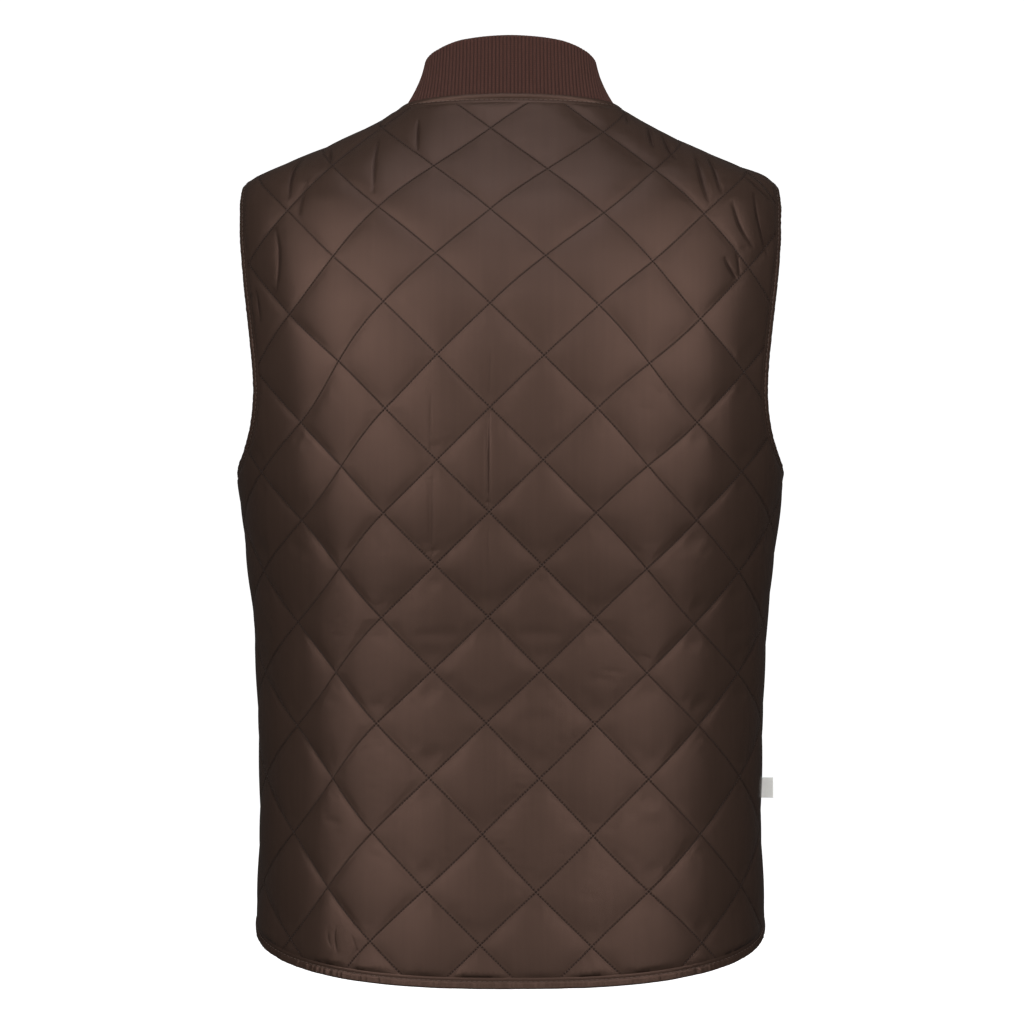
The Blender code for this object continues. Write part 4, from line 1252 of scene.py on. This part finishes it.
def stitch_shade_marks(graph, crossing):
    """Painted shade of the needle holes and the sewn groove on the quilt lines (also their dip in the
    bump), and how near a line is.
    """
    _, across, up = graph.cloth_place("quilt")
    u = graph.math("DIVIDE", graph.minus(across, float(crossing[0])), QUILT)
    v = graph.math("DIVIDE", graph.minus(up, float(crossing[1])), QUILT)
    p, q = graph.plus(u, v), graph.minus(u, v)
    marks, beside = [], []
    for line, along in ((p, q), (q, p)):
        near = graph.math("PINGPONG", line, 0.5)
        away = graph.times(near, QUILT / math.sqrt(2))
        groove = graph.ramp(away, 0.0004, 0.0012, 1.0, 0.0)
        pin = graph.math("PINGPONG", graph.times(along, STITCHES_PER_SIDE), 0.5)
        hole = graph.ramp(pin, 0.15, 0.34, 1.0, 0.2)
        marks.append(graph.times(groove, hole))
        beside.append(graph.ramp(away, 0.0010, 0.0090, 1.0, 0.0))
    return graph.math("MAXIMUM", *marks), graph.math("MAXIMUM", *beside)


def shell_material(name, crossing=None):
    """Satin nylon: a fine weave, faint slubs, an uneven soft gloss tinted by the dye."""
    graph = Graph(name)
    place, across, up = graph.cloth_place()
    streak = graph.noise(graph.stretched(place, 260.0, 9.0), 1.0, 4.0)
    cloud = graph.noise(place, 14.0, 2.0)
    colour = graph.mix(cloud, SHELL_DEEP, SHELL)
    colour = graph.mix(graph.ramp(streak, 0.35, 0.75, 0.0, 0.35), colour, SHELL_SLUB)
    weave = weave_height(graph, across, up, SHELL_WEAVE)
    height = graph.plus(graph.times(weave, 0.35), graph.times(streak, 0.8))
    rough = graph.ramp(cloud, 0.0, 1.0, *SHELL_GLOSS)
    if crossing is not None:
        marks, beside = stitch_shade_marks(graph, crossing)
        fold = graph.node("ShaderNodeAttribute", attribute_name="fold").outputs["Fac"]
        shade = graph.math("MAXIMUM", marks, fold)
        # Painted shade: the colour is darkened in the sewn grooves, needle holes and crease folds
        colour = graph.mix(graph.times(shade, 0.92), colour, PAINTED_SHADE_DARK)
        rough = graph.math("MAXIMUM", rough, graph.times(shade, 0.9))
        pucker = graph.times(graph.noise(place, 260.0, 2.0), beside)
        height = graph.plus(height, graph.times(pucker, 1.6))
        height = graph.minus(height, graph.times(marks, 3.0))
    graph.set(Base_Color=colour, Roughness=rough)
    graph.set(Specular_IOR_Level=0.36, Specular_Tint=(1.0, 0.60, 0.48, 1))
    graph.set(Sheen_Weight=0.03, Sheen_Roughness=0.4, Sheen_Tint=(0.9, 0.72, 0.62, 1))
    graph.bump(height, 0.25, 0.00025)
    return graph.material


def thread_material(name, dark, light):
    graph = Graph(name)
    twist = graph.noise(graph.position(), 1800.0, 2.0)
    graph.set(Base_Color=graph.mix(twist, dark, light))
    graph.set(Roughness=0.55, Specular_IOR_Level=0.4)
    graph.bump(twist, 0.3, 0.0001)
    return graph.material


def rib_material():
    """Matt rib knit: painted shade in the grooves and in the gaps between the small chain stitches up
    each rib, and a little fuzz.
    """
    graph = Graph("rib_knit")
    _, across, up = graph.cloth_place()
    rib = graph.times(across, RIB_COUNT / collar_seam(2)[2][-1])
    edge = graph.math("PINGPONG", rib, 0.5)
    groove = graph.ramp(edge, 0.02, 0.20, 1.0, 0.0)
    slope = graph.times(edge, 1.3)
    loop = graph.plus(graph.math("DIVIDE", up, RIB_LOOP), slope)
    chain = graph.math("SINE", graph.times(loop, math.tau))
    fuzz = graph.noise(graph.position(), 900.0, 5.0)
    colour = graph.mix(graph.ramp(fuzz, 0.3, 0.7), RIB_YARN_DEEP, RIB_YARN)
    # Painted shade: darker in the grooves between ribs and in the gaps between loops
    colour = graph.mix(graph.times(groove, 0.8), colour, RIB_GROOVE_SHADE)
    colour = graph.mix(graph.ramp(chain, -1.0, 0.2, 0.28, 0.0), colour, RIB_LOOP_GAP_SHADE)
    height = graph.plus(graph.times(chain, 0.5), fuzz)
    graph.set(Base_Color=colour, Roughness=0.92, Specular_IOR_Level=0.2)
    graph.set(Sheen_Weight=0.12, Sheen_Roughness=0.5, Sheen_Tint=(0.75, 0.50, 0.42, 1))
    graph.bump(height, 0.5, 0.0003)
    return graph.material


def tape_material(name, light, dark, pitch):
    """Woven tape with visible yarns: painted shade in the dips of the weave, and a random grime
    darkening.
    """
    graph = Graph(name)
    place, across, up = graph.cloth_place()
    weave = weave_height(graph, across, up, pitch)
    grime = graph.noise(place, 300.0, 4.0)
    # Painted shade: the colour follows the weave's height, darker in its dips; the grime noise darkens at
    # random
    share = graph.times(graph.ramp(weave, -1.0, 1.0), graph.ramp(grime, 0.2, 0.7, 0.5, 1.0))
    graph.set(Base_Color=graph.mix(share, dark, light), Roughness=0.85, Specular_IOR_Level=0.3)
    graph.bump(weave, 0.4, 0.0002)
    return graph.material


def hard_material(name, colour, worn, roughness, metallic):
    """Moulded plastic or plated metal, with faint handling marks."""
    graph = Graph(name)
    marks = graph.noise(graph.position(), 700.0, 5.0)
    graph.set(Base_Color=graph.mix(graph.ramp(marks, 0.45, 0.75), colour, worn), Metallic=metallic)
    graph.set(Roughness=graph.ramp(marks, 0.3, 0.7, roughness - 0.06, roughness + 0.10))
    graph.bump(marks, 0.08, 0.0001)
    return graph.material


# Studio

CAMERA_ACROSS = -0.0011
CAMERA_DISTANCE = 2.6
CAMERA_HEIGHT = -0.3005
FRAME_WIDTH = 0.760  # seen across at the garment
SENSOR_WIDTH = 36.0  # in millimetres, as the camera's lens is
SWEEP_RADIUS = 9.0
FLOOR_SIZE = 4.0
FLOOR_LEVEL = -0.75


def area_light(name, place, aim, size, power, colour=(1, 1, 1), lit=None):
    data = bpy.data.lights.new(name, "AREA")
    data.shape = "RECTANGLE"
    data.size, data.size_y = size
    data.energy = power
    data.color = colour
    obj = bpy.data.objects.new(name, data)
    obj.location = place
    obj.rotation_euler = (Vector(aim) - Vector(place)).to_track_quat("-Z", "Y").to_euler()
    bpy.context.scene.collection.objects.link(obj)
    obj.light_linking.receiver_collection = lit


def plain_white(name, strength):
    graph = Graph(name)
    graph.set(Base_Color=(0.9, 0.9, 0.9, 1), Roughness=0.9, Specular_IOR_Level=0.0)
    graph.set(Emission_Color=(1, 1, 1, 1), Emission_Strength=strength)
    return graph.material


def add_sweep():
    """White surroundings that only the camera sees, and a pale floor."""
    scene = bpy.context.scene
    scene.view_settings.view_transform = "Standard"
    world = bpy.data.worlds.new("studio")
    world.use_nodes = True
    background = world.node_tree.nodes["Background"]
    background.inputs["Color"].default_value = (1, 1, 1, 1)
    background.inputs["Strength"].default_value = 0.03
    scene.world = world
    work = bmesh.new()
    bmesh.ops.create_uvsphere(work, u_segments=48, v_segments=24, radius=SWEEP_RADIUS)
    mesh = bpy.data.meshes.new("sweep")
    work.to_mesh(mesh)
    work.free()
    mesh.materials.append(plain_white("sweep_white", 1.0))
    sweep = bpy.data.objects.new("sweep", mesh)
    scene.collection.objects.link(sweep)
    for ray in ("visible_diffuse", "visible_glossy", "visible_transmission", "visible_shadow"):
        setattr(sweep, ray, False)
    square = ((-1, -1), (1, -1), (1, 1), (-1, 1))
    corners = [(x * FLOOR_SIZE, y * FLOOR_SIZE, FLOOR_LEVEL) for x, y in square]
    floor = add_object("floor", corners, [[0, 1, 2, 3]], plain_white("floor_white", 0.97), smooth=False)
    floor.visible_diffuse = False
    floor.visible_glossy = False


def named_collection(name, starts):
    """A collection of the objects whose names start in one of these ways, for a light to be kept to."""
    made = bpy.data.collections.new(name)
    for obj in bpy.context.scene.objects:
        if obj.name.startswith(starts):
            made.objects.link(obj)
    return made


def around(degrees, distance, height):
    """A place at an angle from the camera's side."""
    angle = math.radians(degrees)
    return distance * math.sin(angle), distance * math.cos(angle), height


def add_lights():
    """Soft lights round the camera, and some on the far side that are kept off the back."""
    aim = (0, 0, -0.30)
    upper = (0, 0, -0.15)
    cool = (0.89, 0.93, 1.0)
    for turn, power in ((1, 27.0), (-1, 24.0)):
        area_light("side_softbox", around(turn * 35, 2.3, 0.40), aim, (0.74, 2.3), power)
        area_light("high_softbox", around(turn * 52, 2.2, 1.0), upper, (0.6, 0.8), 5.0)
    area_light("camera_fill", (0, 3.0, 0.40), aim, (2.8, 2.5), 24.0)
    area_light("low_fill", (0, 3.0, -1.15), (0, 0, -0.35), (2.6, 0.8), 7.0)
    area_light("top_softbox", (0, 1.65, 1.45), upper, (1.2, 1.0), 10.0, cool)
    area_light("overhead_softbox", (0, 0.55, 1.75), (0, 0.09, -0.03), (0.7, 0.8), 6.0, cool)
    far_side = named_collection("far_side", ("front_", "zip_", "collar_", "pull"))
    far_edges = named_collection("far_edges", ("slider", "tab", "neck_", "hem_", "armhole_"))
    for turn in (-1, 1):
        area_light("far_softbox", (turn * 1.7, -1.7, -0.15), aim, (1.0, 1.6), 32.0, lit=far_side)
    area_light("far_fill", (0, -2.6, -0.15), aim, (1.2, 1.5), 24.0, lit=far_edges)


def add_camera():
    camera = bpy.data.objects.new("camera", bpy.data.cameras.new("camera"))
    camera.data.sensor_width = SENSOR_WIDTH
    camera.data.lens = SENSOR_WIDTH * CAMERA_DISTANCE / FRAME_WIDTH
    camera.location = (CAMERA_ACROSS, CAMERA_DISTANCE, CAMERA_HEIGHT)
    camera.rotation_euler = (math.pi / 2, 0, math.pi)
    bpy.context.scene.collection.objects.link(camera)
    bpy.context.scene.camera = camera


# The garment


def add_panels(thread, edges):
    """Quilted back and fronts with their lines of stitches. The edges argument is not used."""
    for name, side, place, creases in (
        ("back", BACK, BACK_CROSSING, BACK_CREASES),
        ("front", FRONT, FRONT_CROSSING, FRONT_CREASES),
    ):
        crossing = flat_crossing(place, side)
        points, faces, flat, shade = quilted_wall(name, side, crossing, creases)
        material = shell_material(name + "_shell", crossing)
        sewn = quilt_stitches(side, crossing)
        copies = (("back_panel", 1),) if side == BACK else (("front_left", 1), ("front_right", -1))
        for node, flip in copies:
            mirror = np.array([flip, 1, 1])
            kept = faces if flip == 1 else [face[::-1] for face in faces]
            obj = add_object(node + "_quilt", points * mirror, kept, material, "shell", [node])
            set_uv(obj.data, flat)
            set_uv(obj.data, even_places(flat, side), "quilt")
            obj.data.set_sharp_from_angle(angle=CLOTH_EDGE)
            # The fold attribute holds the painted shade inside the creases
            obj.data.attributes.new("fold", "FLOAT", "POINT").data.foreach_set("value", shade)
            made = stitch_mesh(*(v * mirror for v in sewn))
            threads = add_object(node + "_stitches", *made, thread, "shell")
            face_outward(threads.data)
            flat_outline(side)


def add_bands(thread):
    """Armhole, neck and hem edges, each with its row of stitches."""
    shell = shell_material("band_shell")
    loops = (
        ("armhole_band_left", armhole_loop(260), BAND_WIDTH, True, -1, 0.00036, 0.0, 21),
        ("neck_band", neck_loop(80), BAND_WIDTH, False, 1, 0.00015, NECK_ROLL, 31),
        ("hem_band", hem_loop(420), HEM_BAND_WIDTH, False, -1, 0.00055, 0.0, 41),
    )
    made = []
    for name, places, width, closed, flip, gather, roll, seed in loops:
        copies = [(name, places, flip)]
        if name == "armhole_band_left":
            copies.append(("armhole_band_right", places * (-1, 1, 1), -flip))
        for node, where, turn in copies:
            obj, row = add_band(node, where, width, closed, turn, shell, gather, roll, seed)
            sewn = stitch_mesh(*row, HEM_STITCH_LENGTH)
            threads = add_object(node + "_stitches", *sewn, thread, "shell")
            face_outward(threads.data)
            made += [obj, threads]
    return made


def main():
    thread = thread_material("quilt_thread", (0.024, 0.0148, 0.0112, 1), (0.038, 0.0232, 0.0176, 1))
    # Edge thread painted lighter than the quilt thread: a painted highlight for the glints on its glossy
    # stitches
    edge_thread = thread_material("edge_thread", (0.070, 0.0450, 0.0350, 1), (0.100, 0.0660, 0.0520, 1))
    add_panels(thread, add_bands(edge_thread))
    collar, length, girth = add_collar(rib_material())
    tape = tape_material("zip_tape", (0.045, 0.028, 0.022, 1), (0.018, 0.011, 0.009, 1), 0.0007)
    inner = TAPE_INNER_EDGE
    outer = CHAIN_WIDTH / 2 + SEAM_GAP + TAPE_WIDTH + TAPE_TUCK
    for name, left, right in (("zip_tape_left", inner, outer), ("zip_tape_right", -outer, -inner)):
        add_tape(name, left, right, tape)
    plastic = hard_material("zip_plastic", (0.040, 0.024, 0.019, 1), (0.060, 0.040, 0.032, 1), 0.42, 0.0)
    metal = hard_material("zip_bronze", (0.170, 0.120, 0.078, 1), (0.300, 0.230, 0.160, 1), 0.34, 1.0)
    add_teeth(plastic)
    add_zip_box(plastic)
    add_slider(metal)
    add_pull(metal)
    add_tab(tape_material("tab_woven", (0.98, 0.97, 0.93, 1), (0.88, 0.87, 0.82, 1), 0.0006))
    add_sweep()
    add_lights()
    add_camera()


main()
